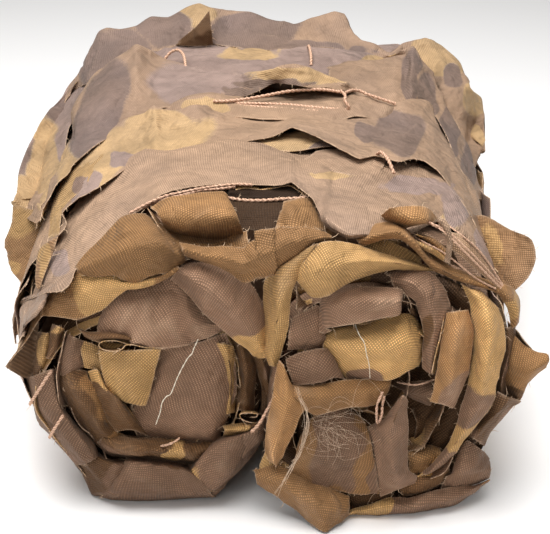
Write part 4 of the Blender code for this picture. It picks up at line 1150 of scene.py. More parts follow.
leftEnd = {
    "outerBandB": dict(colour="brown", under="mauve", seed=201, shade=0.5, mix=(0.1, 0.4, 0), stiff=0.75,
        creases=6, crease=0.6, cut=(0.6, 9), stations=[
        [420, 1120, 3, 400, 1140, -5, 352, 1155, -5, 306, 1142, 6, 318, 1162, 20],
        [470, 1152, 1, 455, 1168, -8, 410, 1205, -7, 366, 1205, 5, 372, 1222, 18],
        [520, 1165, 0, 510, 1185, -10, 450, 1265, -7, 394, 1268, 4, 400, 1278, 16],
        [560, 1165, 0, 550, 1190, -10, 474, 1308, -7, 415, 1322, 3, 418, 1330, 12],
        [620, 1165, 0, 610, 1195, -8, 540, 1330, -6, 474, 1341, 3, 466, 1345, 9],
    ]),
    "outerBandA": dict(colour="mauve", seed=202, shade=0.5, mix=(0, 0, 0.1), stiff=0.6, creases=8,
        crease=1.1, cut=(0.6, 9), stations=[
        [262, 760, 2, 228, 755, -4, 150, 785, -2, 114, 800, 10, 106, 820, 26],
        [268, 850, 2, 245, 855, -7, 172, 862, -4, 131, 868, 8, 137, 888, 24],
        [285, 925, 2, 265, 935, -9, 192, 938, -6, 153, 930, 7, 160, 952, 23],
        [345, 1005, 2, 325, 1018, -10, 250, 1010, -8, 189, 1005, 7, 206, 1030, 20],
        [400, 1072, 1, 380, 1088, -11, 318, 1098, -10, 259, 1095, 6, 278, 1118, 20],
        [430, 1125, 0, 412, 1145, -12, 364, 1165, -11, 308, 1147, 4, 332, 1172, 18],
        [436, 1150, -2, 420, 1165, -12, 390, 1188, -11, 350, 1190, 0, 370, 1215, 14],
    ]),
    "outerBandC": dict(colour="mauve", seed=203, shade=0.55, mix=(0, 0, 0.1), stiff=0.7, creases=8,
        crease=1.1, cut=(0.6, 9), stations=[
        [575, 1150, 1, 560, 1175, -8, 500, 1290, -8, 450, 1335, 0],
        [600, 1160, 0, 592, 1180, -13, 520, 1300, -12, 500, 1345, 1],
        [650, 1165, 0, 648, 1188, -14, 620, 1312, -11, 600, 1350, 1],
        [740, 1170, 0, 745, 1195, -14, 750, 1322, -11, 740, 1352, 1],
        [810, 1185, 0, 820, 1210, -14, 860, 1312, -10, 870, 1342, 2],
        [850, 1200, 1, 875, 1235, -11, 950, 1305, -8, 972, 1333, 3],
    ]),
    "outerBandD": dict(colour="mauve", under="olive", seed=204, shade=0.35, mix=(0.12, 0, 0.1), stiff=0.55,
        creases=8, crease=1.1, cut=(0.6, 9), stations=[
        [840, 1190, 1, 850, 1230, -8, 920, 1300, -8, 955, 1335, 2],
        [872, 1170, 0, 880, 1205, -14, 965, 1292, -10, 1008, 1302, 3],
        [930, 1105, 0, 942, 1130, -15, 1030, 1235, -10, 1075, 1218, 5],
        [1000, 1068, 0, 1010, 1085, -15, 1075, 1170, -9, 1128, 1150, 6],
        [1085, 1042, 0, 1092, 1058, -13, 1125, 1108, -8, 1152, 1118, 4],
        [1150, 1015, 1, 1158, 1030, -10, 1178, 1058, -6, 1190, 1066, 4],
        [1205, 925, 4, 1212, 930, -4, 1222, 940, -2, 1230, 948, 4],
    ]),
    "ringLow": dict(colour="brown", seed=205, shade=0.3, mix=(0, 0.35, 0), stiff=0.4, creases=12,
        crease=0.8, patches=[(0, -53, 36, 6, 7)], stations=[
        [430, 1085, 2, 455, 1062, -8, 478, 1035, -3], [500, 1150, 0, 520, 1105, -13, 540, 1058, -3],
        [600, 1168, 0, 622, 1120, -15, 632, 1070, -3], [700, 1172, 0, 720, 1125, -15, 740, 1072, -3],
        [800, 1182, 0, 822, 1130, -14, 842, 1078, -3], [870, 1185, 0, 892, 1135, -11, 902, 1082, -3],
        [935, 1145, 0, 950, 1112, -7, 965, 1085, -2],
    ]),
    "ringOlive": dict(seed=206, shade=0.4, mix=(0, 0.15, 0.3), stiff=0.4, creases=10, crease=0.8, stations=[
        [262, 770, 2, 320, 755, -5, 392, 765, -2], [262, 820, 1, 330, 812, -11, 402, 800, -4],
        [285, 880, 1, 360, 878, -12, 442, 848, -5], [320, 950, 1, 400, 945, -13, 472, 918, -5],
        [365, 1020, 1, 432, 1010, -13, 492, 985, -5], [420, 1080, 1, 475, 1060, -12, 525, 1030, -5],
        [470, 1120, 2, 520, 1085, -8, 570, 1050, -3],
    ]),
    "ringMauve": dict(colour="mauve", seed=207, shade=0.45, mix=(0, 0, 0.15), stiff=0.3, creases=6,
        crease=0.6, stations=[
        [300, 590, 2, 335, 610, -6, 378, 630, -2], [280, 660, 1, 320, 680, -9, 368, 700, -3],
        [265, 720, 1, 315, 740, -9, 378, 748, -2], [262, 785, 2, 312, 795, -5, 352, 780, 0],
    ]),
    "ringFold": dict(colour="brown", under="olive", seed=208, shade=0.2, mix=(0.12, 0.1, 0), stiff=0.4,
        creases=8, crease=0.7, stations=[
        [392, 765, -4, 432, 755, -9, 462, 785, -4], [425, 850, -5, 465, 838, -12, 500, 872, -4],
        [455, 920, -5, 525, 898, -13, 572, 928, -3], [480, 980, -5, 565, 968, -12, 632, 1008, -2],
        [510, 1035, -4, 600, 1035, -8, 680, 1068, -1],
    ]),
    "centreFace": dict(colour="mauve", seed=209, stiff=0.25, creases=10, crease=1.1, wave=0.9, shade=0.05,
        weaveAngle=8, stations=[
        [720, 655, -5, 800, 648, -7, 880, 638, -7, 950, 612, -6, 1015, 590, -3],
        [695, 750, -4, 790, 750, -9, 880, 750, -10, 970, 745, -9, 1062, 735, -3],
        [650, 860, -4, 770, 860, -10, 880, 860, -12, 980, 858, -10, 1066, 848, -3],
        [590, 940, -3, 730, 960, -9, 860, 968, -12, 970, 958, -9, 1036, 940, -3],
        [590, 1010, -1, 720, 1030, -7, 850, 1042, -9, 950, 1045, -7, 1005, 1030, -2],
        [630, 1080, 3, 740, 1092, 0, 840, 1100, 0, 920, 1105, 1, 975, 1092, 3],
    ]),
    "sideOlive": dict(colour="olive", seed=210, shade=0.35, mix=(0, 0, 0.2), stiff=0.3, creases=6,
        stations=[
        [955, 635, -4, 1000, 640, -8, 1045, 648, -2], [985, 720, -3, 1030, 722, -9, 1064, 730, 0],
        [1005, 800, -2, 1040, 802, -9, 1070, 800, 1], [1005, 880, -2, 1036, 888, -8, 1064, 882, 1],
        [995, 955, -1, 1020, 962, -5, 1048, 952, 1],
    ]),
    "sideDark": dict(colour="brown", seed=211, shade=0.2, mix=(0.2, 0.3, 0), stiff=0.3, creases=6,
        stations=[
        [1030, 600, 2, 1080, 640, -5, 1130, 680, 1], [1062, 740, 3, 1102, 750, -6, 1148, 750, 2],
        [1062, 840, 3, 1102, 850, -6, 1148, 850, 2], [1055, 940, 3, 1100, 952, -5, 1142, 960, 2],
    ]),
    "betweenBrown": dict(colour="brown", seed=212, mix=(0.1, 0.3, 0), stiff=0.3, creases=6, stations=[
        [1128, 690, 3, 1168, 690, -5, 1205, 695, 1], [1158, 760, 4, 1190, 760, -5, 1228, 760, 2],
        [1180, 840, 5, 1206, 840, -4, 1238, 840, 3], [1200, 925, 5, 1220, 918, -1, 1244, 905, 4],
    ]),
    "sideFold": dict(colour="olive", under="olive", seed=213, mix=(0, 0, 0.2), stiff=0.3, creases=5,
        stations=[
        [992, 1010, -3, 1000, 1035, -9, 996, 1068, -4], [1050, 998, -3, 1068, 1028, -13, 1060, 1056, -5],
        [1100, 996, -3, 1118, 1020, -12, 1110, 1044, -4], [1152, 992, 0, 1158, 1008, -6, 1152, 1025, -2],
    ]),
    "sideCurl": dict(colour="olive", seed=214, stiff=0.1, creases=2, crease=0.3, wave=0.2, cut=(0.3, 5),
        step=1, stations=[
        [1160, 1000, -6, 1166, 994, 2], [1120, 998, -9, 1124, 990, 0], [1085, 985, -10, 1090, 978, 0],
        [1075, 965, -10, 1080, 960, 0], [1095, 955, -10, 1098, 948, 0], [1130, 955, -9, 1134, 948, 0],
        [1158, 962, -8, 1160, 956, 0], [1150, 975, -8, 1152, 970, 0], [1125, 975, -8, 1126, 970, 0],
    ]),
    "recessFill": dict(view="whole", colour="olive", seed=293, shade=0.5, creases=3, stations=[
        [78, 338, -2, 80, 352, -5, 83, 368, -4], [90, 342, -2, 91, 356, -5, 94, 370, -4],
        [102, 349, -2, 103, 360, -5, 106, 374, -4],
    ]),
    "squareInside": dict(view="whole", colour="olive", seed=294, shade=0.3, creases=2, cut=(0.3, 6),
        stations=[
        [98.5, 340, -4, 99, 345, -7, 100, 349, -9], [108, 339.5, -3, 108, 345, -6, 109, 351, -9],
        [120, 342, -3, 120, 346, -6, 120, 351, -9], [130, 345, -4, 130, 348, -6, 130, 351, -9],
    ]),
    "recessOlive": dict(colour="olive", seed=215, shade=0.45, mix=(0, 0, 0.35), stiff=0.3, creases=4,
        stations=[
        [178, 590, 6, 208, 592, -2, 245, 600, 4], [152, 700, 6, 190, 700, -4, 226, 702, 4],
        [132, 790, 6, 164, 815, 0, 202, 800, 4],
    ]),
    "recessDark": dict(colour="brown", seed=216, mix=(0.1, 0.2, 0), stiff=0.3, creases=4, stations=[
        [242, 550, 2, 268, 560, -5, 296, 575, 2], [214, 640, 2, 240, 650, -6, 264, 652, 2],
        [198, 705, 2, 216, 715, -4, 242, 714, 2],
    ]),
    "recessEdge": dict(colour="mauve", under="mauve", seed=217, stiff=0.1, creases=3, crease=0.4, wave=0.3,
        cut=(0.5, 6), step=1.2, stations=[
        [292, 595, -4, 302, 600, 6], [272, 690, -5, 288, 692, 6], [256, 780, -6, 274, 786, 6],
        [260, 860, -7, 280, 862, 6], [270, 925, -6, 300, 930, 5],
    ]),
    "squareEnd": dict(node="square_end", colour="olive", under="tan", seed=218, shade=0.42, stiff=0.5,
        creases=6, crease=0.45, cut=(0.7, 7), nick=0.2, weaveAngle=4, stations=[
        [440, 672, -9, 500, 678, -12, 570, 674, -13, 650, 668, -13, 724, 664, -11],
        [453, 760, -9, 520, 770, -13, 590, 775, -14, 650, 775, -13, 698, 765, -10],
        [488, 868, -8, 540, 882, -11, 590, 890, -12, 640, 882, -11, 678, 862, -9],
        [525, 885, -7, 562, 908, -9, 600, 920, -10, 635, 928, -10, 657, 926, -9],
    ]),
    "squareCurl": dict(colour="olive", under="tan", seed=219, shade=0.3, stiff=0, creases=1, crease=0.2,
        wave=0.15, cut=(0.3, 6), step=1, stations=[
        [724, 664, -12, 728, 660, -4], [660, 664, -13, 664, 656, -4], [600, 650, -14, 604, 642, -4],
        [565, 652, -15, 568, 640, -5], [545, 672, -16, 548, 660, -6], [500, 680, -16, 503, 668, -6],
        [458, 672, -15, 462, 662, -5], [443, 652, -14, 448, 645, -5], [462, 634, -14, 466, 628, -5],
        [505, 630, -14, 508, 624, -5], [548, 638, -13, 550, 632, -5], [590, 652, -12, 592, 648, -4],
    ]),
    "topFlap": dict(node="top_flap", colour="mauve", seed=220, mix=(0, 0.1, 0.2), creases=18, crease=1.5,
        weaveAngle=20, stations=[
        [440, 540, -3, 435, 580, -6, 432, 604, -7], [475, 480, -5, 482, 550, -9, 500, 602, -9],
        [540, 425, -6, 548, 520, -12, 560, 602, -10], [605, 395, -7, 612, 520, -13, 612, 652, -11],
        [680, 362, -7, 690, 500, -13, 682, 666, -11], [760, 335, -6, 780, 490, -13, 762, 666, -10],
        [835, 395, -6, 850, 520, -12, 850, 650, -9], [905, 465, -5, 920, 560, -10, 930, 615, -8],
        [965, 525, -4, 988, 560, -7, 1014, 578, -5],
    ]),
    "topFlapHem": dict(colour="brown", under="olive", seed=221, mix=(0.15, 0, 0), stiff=0.2, creases=6,
        crease=0.5, cut=(0.6, 6), stations=[
        [352, 572, -3, 362, 590, -8, 378, 612, -5], [400, 588, -6, 412, 610, -13, 430, 636, -8],
        [480, 590, -8, 492, 612, -15, 505, 632, -9], [560, 598, -8, 570, 618, -14, 580, 636, -9],
        [640, 640, -7, 646, 652, -11, 652, 664, -8],
    ]),
    "rolledEdge": dict(node="rolled_edge", colour="mauve", seed=222, shade=0.1, stiff=0.25, creases=9,
        crease=1.1, patches=[(0, -9, 102, 14, 13)], weaveAngle=45, stations=[
        [835, 262, -1, 820, 285, -6, 795, 318, -12, 765, 350, -6],
        [910, 258, -2, 890, 296, -13, 860, 350, -21, 822, 402, -9],
        [995, 275, -4, 965, 325, -16, 925, 400, -25, 882, 472, -10],
        [1080, 335, -7, 1045, 385, -18, 995, 460, -27, 942, 532, -12],
        [1148, 405, -8, 1115, 458, -18, 1065, 530, -26, 1012, 592, -12],
        [1195, 500, -6, 1175, 540, -14, 1125, 600, -22, 1072, 652, -10],
        [1215, 590, -5, 1202, 620, -10, 1168, 660, -15, 1130, 692, -7],
        [1222, 690, -4, 1218, 700, -5, 1190, 708, -7, 1160, 710, -5],
    ]),
    "leftHem": dict(under="olive", seed=223, shade=0.2, creases=10, crease=1.1,
        patches=[(0, -86, 128, 15, 13), (0, -70, 138, 10, 9)], cut=(1.4, 7), nick=0.7, stations=[
        [200, 430, 6, 190, 485, -1, 180, 522, -3], [290, 345, 3, 270, 440, -6, 252, 527, -6],
        [370, 300, 1, 360, 420, -10, 358, 542, -8], [450, 310, -4, 450, 400, -13, 450, 502, -9],
        [530, 325, -6, 530, 390, -15, 530, 440, -11], [610, 345, -8, 610, 385, -16, 606, 406, -13],
        [710, 320, -8, 710, 350, -16, 706, 372, -12], [800, 288, -7, 812, 300, -12, 822, 310, -9],
    ]),
    "leftLip": dict(node="left_lip", under="olive", seed=224, creases=10, crease=1.1, cut=(1, 8),
        shade=0.58, weaveAngle=30, stations=[
        [340, 305, -3, 346, 314, -5, 352, 322, -4], [400, 222, 0, 420, 285, -11, 440, 345, -10],
        [470, 148, 4, 500, 250, -15, 522, 345, -13], [560, 72, 8, 590, 210, -18, 600, 380, -14],
        [640, 56, 8, 662, 200, -20, 662, 355, -16], [700, 88, 2, 728, 200, -19, 732, 335, -15],
        [762, 162, -5, 792, 240, -15, 792, 308, -12], [822, 222, -8, 832, 255, -10, 834, 278, -9],
    ]),
    "innerFold": dict(view="whole", node="inner_fold", patchesInView=True, under="olive", seed=225,
        shade=0.25, stiff=0.3, creases=8, crease=0.7, stations=[
        [149, 207, 8, 155, 212, 0, 160, 220, -3, 165, 230, 3],
        [165, 198, 14, 170, 208, -2, 173, 222, -6, 178, 235, 8],
        [184, 194, 20, 187, 208, -3, 189, 224, -7, 194, 239, 10],
        [204, 191, 24, 207, 208, -3, 208, 224, -7, 212, 243, 12],
        [222, 191, 28, 227, 208, -2, 231, 222, -6, 234, 242, 12],
        [227, 196, 30, 235, 210, 2, 241, 224, -2, 246, 238, 10],
    ]),
    "middleFlap": dict(node="middle_flap", under="tan", seed=226, shade=0.45, creases=14, crease=1.1,
        cut=(1.6, 6), nick=0.8, weaveAngle=24, stations=[
        [795, 190, -8, 810, 220, -13, 835, 250, -10], [850, 205, -10, 880, 240, -18, 905, 270, -14],
        [915, 212, -13, 945, 255, -22, 970, 295, -17], [1000, 207, -16, 1015, 260, -26, 1035, 330, -19],
        [1085, 210, -18, 1092, 290, -28, 1098, 377, -20], [1110, 190, -19, 1140, 270, -28, 1145, 362, -20],
        [1175, 150, -18, 1190, 250, -27, 1200, 345, -19], [1237, 128, -17, 1238, 240, -26, 1240, 332, -18],
        ["right", 0, 135, -17, 5, 250, -26, 10, 357, -18], [60, 125, -16, 70, 230, -25, 85, 332, -17],
        [140, 117, -15, 150, 200, -23, 175, 282, -16], [225, 120, -13, 228, 180, -20, 240, 240, -15],
        [295, 140, -10, 298, 172, -15, 300, 198, -12], [345, 166, -7, 346, 170, -9, 347, 174, -8],
    ]),
}
makeFrontEnd("left", leftEnd)
print("left roll end made")

rightEnd = {
    "holeDeep": dict(colour="brown", seed=250, mix=(0, 0.2, 0), shade=0.5, stations=[
        [700, 930, 2, 720, 1000, -4, 700, 1100, 0], [790, 930, 6, 800, 1010, 0, 780, 1100, 4],
        [890, 960, 8, 880, 1030, 2, 850, 1110, 4],
    ]),
    "holeFolds": dict(colour="mauve", seed=251, shade=0.5, mix=(0.2, 0, 0.3), stations=[
        [610, 830, -4, 650, 850, -9, 690, 880, -4], [690, 815, -4, 740, 870, -10, 780, 925, -4],
        [790, 810, -3, 800, 860, -8, 800, 905, -3],
    ]),
    "bulge": dict(colour="olive", under="olive", seed=252, stiff=0.15, creases=9, crease=0.5,
        patches=[(1, 45, 86, 9, 6)], weaveAngle=12, stations=[
        [268, 655, -6, 272, 662, -7, 278, 672, -6], [325, 588, -7, 342, 650, -17, 352, 732, -12],
        [400, 568, -8, 410, 660, -23, 412, 802, -14], [500, 545, -9, 500, 670, -27, 497, 806, -16],
        [600, 520, -9, 602, 660, -27, 602, 806, -16], [685, 510, -8, 684, 640, -22, 682, 772, -14],
        [738, 565, -5, 738, 650, -14, 736, 742, -8], [754, 640, -2, 755, 650, -4, 754, 662, -2],
    ]),
    "upperBand": dict(node="upper_band", colour="mauve", seed=253, shade=0.1, stiff=0.45, creases=7,
        crease=0.5, cut=(0.8, 8), weaveAngle=10, stations=[
        [285, 600, -15, 315, 600, -17, 350, 585, -17], [284, 500, -13, 300, 530, -19, 318, 580, -20],
        [300, 428, -12, 330, 480, -22, 365, 572, -22], [400, 392, -15, 425, 460, -28, 455, 552, -24],
        [540, 390, -17, 550, 460, -29, 562, 532, -25], [640, 398, -18, 640, 455, -27, 642, 515, -24],
        [662, 404, -17, 655, 440, -20, 645, 470, -18],
    ]),
    "bandMouth": dict(colour="brown", seed=254, stiff=0.1, creases=1, wave=0.2, cut=(0.3, 5), step=1,
        stations=[
        [655, 402, -19, 665, 410, -12], [680, 430, -14, 700, 440, -6], [700, 480, -12, 725, 500, -4],
        [690, 500, -10, 735, 540, -3],
    ]),
    "archBand": dict(node="arch_band", colour="brown", under="mauve", seed=255, mix=(0.05, 0.75, 0),
        creases=10, crease=1.1, stations=[
        [585, 330, -10, 610, 362, -14, 630, 400, -12], [700, 315, -10, 692, 370, -19, 690, 425, -14],
        [790, 328, -9, 752, 410, -21, 722, 470, -14], [852, 400, -8, 792, 480, -22, 742, 535, -14],
        [868, 490, -9, 806, 560, -22, 750, 610, -14], [852, 600, -10, 800, 640, -21, 748, 690, -13],
        [832, 700, -11, 790, 720, -19, 746, 748, -12], [802, 790, -12, 786, 782, -15, 764, 768, -12],
    ]),
    "archOver": dict(view="whole", node="golden_arch", colour="olive", under="tan", seed=256, shade=0.22,
        creases=14, crease=1.1, weaveAngle=35, stations=[
        [295.5, 281, -20, 298, 284, -21, 300, 287, -19], [300, 266, -21, 307, 283, -27, 314, 298, -19],
        [318, 243, -19, 326, 268, -29, 331, 292, -19], [334, 241, -16, 345, 264, -29, 352, 281, -18],
        [356, 245, -12, 368, 261, -26, 378, 273, -16], [382, 252, -8, 392, 262, -21, 402, 271, -13],
        [408, 260, -6, 416, 266, -14, 426, 270.5, -9], [433, 268, -3, 434, 269.5, -6, 436, 271, -5],
    ]),
    "archSide": dict(view="whole", colour="olive", seed=257, shade=0.28, stiff=0.4, creases=12, crease=1.1,
        stations=[
        [283, 262, -10, 300, 254, -17, 320, 242, -20], [268, 272, -9, 285, 268, -20, 305, 259, -20],
        [264, 285, -8, 281, 282, -23, 298, 273, -20], [262, 301, -8, 279, 299, -25, 294, 286, -20],
        [262, 319, -9, 277, 317, -25, 292, 305, -19], [263, 337, -10, 275, 335, -22, 288, 328, -17],
        [266, 353, -12, 273, 352, -19, 282, 350, -15], [270, 366, -13, 273, 367, -16, 276, 367, -14],
    ]),
    "archFold": dict(colour="brown", under="olive", seed=258, mix=(0.2, 0, 0), stiff=0.5, creases=3,
        stations=[
        [185, 372, -17, 205, 430, -14, 230, 480, -10], [190, 440, -17, 220, 455, -14, 262, 452, -12],
        [186, 500, -17, 215, 490, -13, 255, 462, -10],
    ]),
    "outerBand": dict(node="outer_band", colour="olive", under="tan", seed=259, shade=0.12,
        mix=(0, 0.05, 0), stiff=0.3, creases=14, crease=1.1, patches=[(3, 110, 100, 10, 20),
        (1, 100, 70, 16, 12), (1, 84, 34, 12, 12)], weaveAngle=5, stations=[
        [920, 370, -6, 960, 395, -10, 1000, 405, -6], [955, 430, -8, 1020, 450, -16, 1085, 480, -8],
        [975, 520, -10, 1050, 540, -21, 1118, 550, -9], [978, 640, -11, 1055, 640, -22, 1132, 650, -10],
        [965, 740, -12, 1042, 740, -23, 1112, 740, -11], [950, 830, -13, 1022, 830, -23, 1088, 830, -12],
        [925, 915, -14, 1002, 915, -21, 1078, 905, -12], [905, 1000, -14, 962, 1002, -20, 1015, 985, -13],
        [870, 1080, -13, 912, 1078, -19, 955, 1062, -13], [815, 1160, -12, 852, 1155, -17, 895, 1130, -12],
        [730, 1240, -11, 770, 1235, -14, 805, 1215, -11],
    ]),
    "foldedStrip": dict(node="folded_strip", under="mauve", seed=260, stiff=0.5, creases=8, crease=0.6,
        cut=(0.8, 6), nick=0.5, patches=[(1, 92, 72, 10, 16)], weaveAngle=2, stations=[
        [858, 503, -14, 905, 495, -19, 962, 488, -12], [848, 570, -16, 908, 568, -24, 978, 560, -13],
        [838, 650, -17, 902, 650, -26, 974, 640, -14], [820, 760, -18, 892, 760, -27, 962, 750, -15],
        [800, 850, -19, 872, 852, -26, 932, 850, -16], [783, 906, -18, 840, 922, -22, 894, 940, -16],
    ]),
    "paleSliver": dict(colour="olive", under="tan", seed=261, stiff=0.1, creases=2, crease=0.3, wave=0.3,
        cut=(0.4, 6), step=1.1, stations=[
        [850, 502, -15, 858, 508, -10], [835, 590, -18, 846, 592, -10], [812, 680, -19, 826, 682, -11],
        [792, 778, -18, 804, 782, -12],
    ]),
    "darkCloth": dict(view="whole", seed=262, shade=0.55, stiff=0.3, creases=12, crease=1.1,
        patchesInView=True, patches=[(1, 336, 446, 24, 52, 10), (1, 375, 482, 8, 16)], stations=[
        [299, 437, -15, 296, 448, -18, 293, 462, -20, 289, 474, -18],
        [312, 418, -15, 311, 440, -21, 310, 462, -23, 308, 481, -19],
        [325, 409, -15, 325, 437, -23, 324, 463, -24, 322, 489, -18],
        [340, 408, -15, 341, 437, -23, 342, 466, -24, 343, 493, -18],
        [352, 410, -14, 356, 438, -22, 359, 466, -23, 361, 495, -17],
        [366, 422, -13, 373, 444, -19, 377, 468, -20, 381, 494, -15],
    ]),
    "behindSquare": dict(view="whole", colour="mauve", seed=290, mix=(0, 0, 0.1), creases=4, shade=0.15,
        stations=[
        [286, 350, -13, 287, 336, -17, 291, 318, -13], [302, 350, -13, 302, 332, -18, 304, 310, -13],
        [316, 352, -12, 317, 330, -16, 318, 304, -12], [326, 352, -10, 326, 334, -13, 326, 318, -9],
    ]),
    # a dark brown sheet of painted shadow in the pocket between the foot and the bottom band
    "lowPocketShadow": dict(view="whole", colour="brown", seed=295, shade=0.7, creases=2, stations=[
        [345, 493, -9, 346, 503, -10, 347, 513, -8], [360, 493, -11, 360, 502, -12, 360, 511, -9],
        [376, 491, -11, 376, 499, -12, 376, 507, -9], [393, 488, -9, 393, 495, -10, 393, 502, -8],
    ]),
    "lowBrown": dict(view="whole", colour="brown", seed=291, creases=5, patchesInView=True,
        patches=[(0, 420, 474, 14, 3)], stations=[
        [402, 497, -9, 400, 492, -10, 398, 488, -9], [420, 494, -9, 418, 484, -14, 416, 476, -10],
        [438, 487, -7, 436, 478, -12, 434, 471, -8], [452, 474, -5, 450, 468, -9, 449, 462, -6],
    ]),
    "behindSlant": dict(colour="olive", under="olive", seed=263, shade=0.3, mix=(0, 0, 0.2), stiff=0.3,
        creases=4, stations=[
        [60, 1060, -9, 45, 1120, -13, 20, 1180, -13], [110, 1150, -12, 75, 1195, -16, 20, 1240, -16],
        [160, 1190, -13, 120, 1230, -17, 60, 1265, -17],
    ]),
    "crossStrip": dict(node="cross_strip", seed=264, shade=0.35, stiff=0.4, creases=9, crease=0.6,
        cut=(0.8, 8), weaveAngle=8, stations=[
        [108, 838, -20, 106, 860, -23, 100, 885, -21], [180, 832, -21, 190, 882, -28, 200, 920, -22],
        [280, 826, -21, 282, 892, -28, 275, 968, -20], [400, 803, -19, 402, 872, -26, 402, 938, -19],
        [500, 801, -17, 502, 862, -24, 506, 922, -17], [572, 799, -15, 572, 850, -20, 562, 908, -15],
        [614, 797, -12, 606, 830, -15, 598, 862, -12],
    ]),
    "mauveSquare": dict(colour="mauve", seed=265, shade=0.45, mix=(0, 0, 0.1), stiff=0.4, creases=5,
        crease=0.5, cut=(0.6, 8), stations=[
        [133, 716, -18, 150, 772, -22, 176, 830, -21], [200, 683, -18, 215, 750, -24, 230, 830, -23],
        [282, 666, -17, 292, 740, -24, 300, 820, -23], [335, 672, -14, 348, 730, -20, 360, 800, -21],
        [348, 692, -12, 372, 755, -16, 405, 805, -17],
    ]),
    "slantingStrip": dict(node="slanting_strip", under="olive", seed=266, creases=10, crease=1.1,
        cut=(1, 7), weaveAngle=62, stations=[
        [105, 715, -20, 130, 742, -25, 160, 832, -23], [88, 800, -20, 140, 832, -29, 204, 885, -22],
        [78, 880, -20, 142, 892, -31, 234, 928, -22], [64, 960, -19, 130, 972, -30, 208, 965, -22],
        [54, 1040, -18, 110, 1042, -28, 168, 1062, -20], [50, 1120, -18, 85, 1128, -26, 128, 1142, -19],
        [60, 1172, -18, 76, 1178, -23, 97, 1197, -18],
    ]),
    "ribbedGold": dict(view="whole", under="olive", seed=267, stiff=0.3, creases=6, shade=0.3, stations=[
        [405, 446, -6, 407, 460, -12, 408, 475, -9], [418, 445, -4, 420, 459, -12, 422, 474, -8],
        [430, 445, -2, 432, 457, -10, 434, 471, -6], [440, 447, -1, 443, 455, -6, 446, 464, -3],
    ]),
    "standingFold": dict(view="whole", node="standing_fold", colour="mauve", seed=268, shade=0.25,
        stiff=0.6, creases=6, crease=0.5, cut=(0.5, 8), weaveAngle=12, stations=[
        [400, 399, -22, 404, 395, -26, 407, 399, -24], [385, 419, -18, 396, 415, -30, 407, 416, -22],
        [368, 427, -14, 390, 432, -31, 408, 436, -20], [371, 445, -16, 392, 450, -33, 408, 452, -20],
        [376, 468, -17, 394, 470, -33, 409, 470, -21], [379, 484, -16, 398, 482, -28, 418, 476, -19],
        [381, 496, -14, 398, 490, -20, 416, 484, -14],
    ]),
    "goldLip": dict(view="whole", colour="olive", under="olive", seed=292, stiff=0.1, creases=1, crease=0.2,
        wave=0.2, cut=(0.2, 5), step=1.1, stations=[
        [429, 471, -10, 431, 467, -12, 432, 461, -9], [440, 466, -10, 440, 459, -13, 440, 455, -9],
        [450, 458, -8, 449, 455, -10, 447, 453, -8],
    ]),
    "bottomBand": dict(view="whole", colour="mauve", under="tan", seed=269, shade=0.25, stiff=0.4,
        creases=9, crease=1.1, cut=(0.4, 8), patchesInView=True, patches=[(0, 366, 508, 28, 9, -10)],
        stations=[
        [344, 513, -15, 345, 513.6, -16, 346, 514, -14], [362, 506, -13, 364, 511, -18, 366, 514, -12],
        [388, 497, -12, 390, 506, -19, 392, 513.5, -11], [410, 498, -12, 411, 506, -18, 412, 513, -10],
        [432, 492, -10, 433, 502, -16, 434, 510, -7], [455, 487, -7, 457, 497, -12, 459, 503, -3],
        [474, 485, -4, 475, 488, -7, 477, 489, 0], [490, 479, 0, 490, 480, -1, 488, 482, 3],
    ]),
    "frontFoot": dict(node="front_foot", under="olive", seed=270, shade=0.45, creases=12, crease=1.1,
        cut=(0.8, 8), weaveAngle=28, stations=[
        [-4, 1213, -13, 2, 1240, -17, 8, 1270, -15], [60, 1192, -16, 60, 1250, -22, 60, 1308, -17],
        [115, 1188, -17, 122, 1260, -24, 132, 1355, -18], [185, 1222, -18, 192, 1320, -28, 202, 1415, -20],
        [252, 1260, -18, 262, 1355, -30, 266, 1458, -25], [312, 1285, -18, 316, 1385, -31, 318, 1492, -30],
        [372, 1305, -17, 372, 1382, -26, 366, 1452, -24], [428, 1328, -16, 426, 1382, -20, 420, 1410, -17],
    ]),
    "flankMauve": dict(colour="mauve", seed=271, shade=0.3, mix=(0, 0, 0.25), stiff=0.4, creases=8,
        stations=[
        [1090, 850, -6, 1145, 880, -9, 1200, 903, 1], [1050, 940, -6, 1090, 960, -11, 1126, 963, 1],
        [995, 1000, -6, 1026, 1018, -11, 1056, 1038, 1], [950, 1060, -6, 985, 1075, -9, 1022, 1103, 1],
    ]),
    "flankStrip": dict(colour="brown", under="mauve", seed=272, shade=0.3, mix=(0, 0.3, 0), stiff=0.3,
        creases=6, stations=[
        [1100, 560, 4, 1130, 570, -4, 1160, 560, 6], [1110, 680, 3, 1140, 690, -4, 1172, 690, 6],
        [1085, 800, 2, 1110, 810, -5, 1140, 830, 6], [1080, 900, 1, 1100, 910, -5, 1125, 930, 6],
    ]),
    "rightCurl": dict(view="whole", node="right_curl", colour="mauve", under="tan", seed=273, shade=0.3,
        creases=8, crease=1.1, weaveAngle=20, stations=[
        [440, 489, -6, 446, 478, -11, 452, 464, -8], [452, 488, -6, 460, 470, -14, 466, 440, -7],
        [465, 486, -4, 474, 468, -13, 479, 447, -5], [479, 484, -1, 484, 470, -9, 487, 455, 0],
        [491, 478, 2, 492, 470, -3, 491, 462, 3],
    ]),
    "pointedFlap": dict(seed=274, shade=0.35, stiff=0.4, creases=7, crease=0.7,
        patches=[(2, 126, 66, 8, 8)], stations=[
        [1130, 590, 6, 1118, 720, 1, 1110, 840, 6], [1160, 600, 4, 1150, 740, -6, 1135, 870, 4],
        [1205, 645, 0, 1200, 770, -9, 1180, 912, 0], [1260, 680, -3, 1255, 760, -11, 1222, 835, -2],
        [1312, 690, -5, 1300, 735, -9, 1262, 790, -4], [1320, 718, -5, 1318, 728, -6, 1313, 748, -5],
    ]),
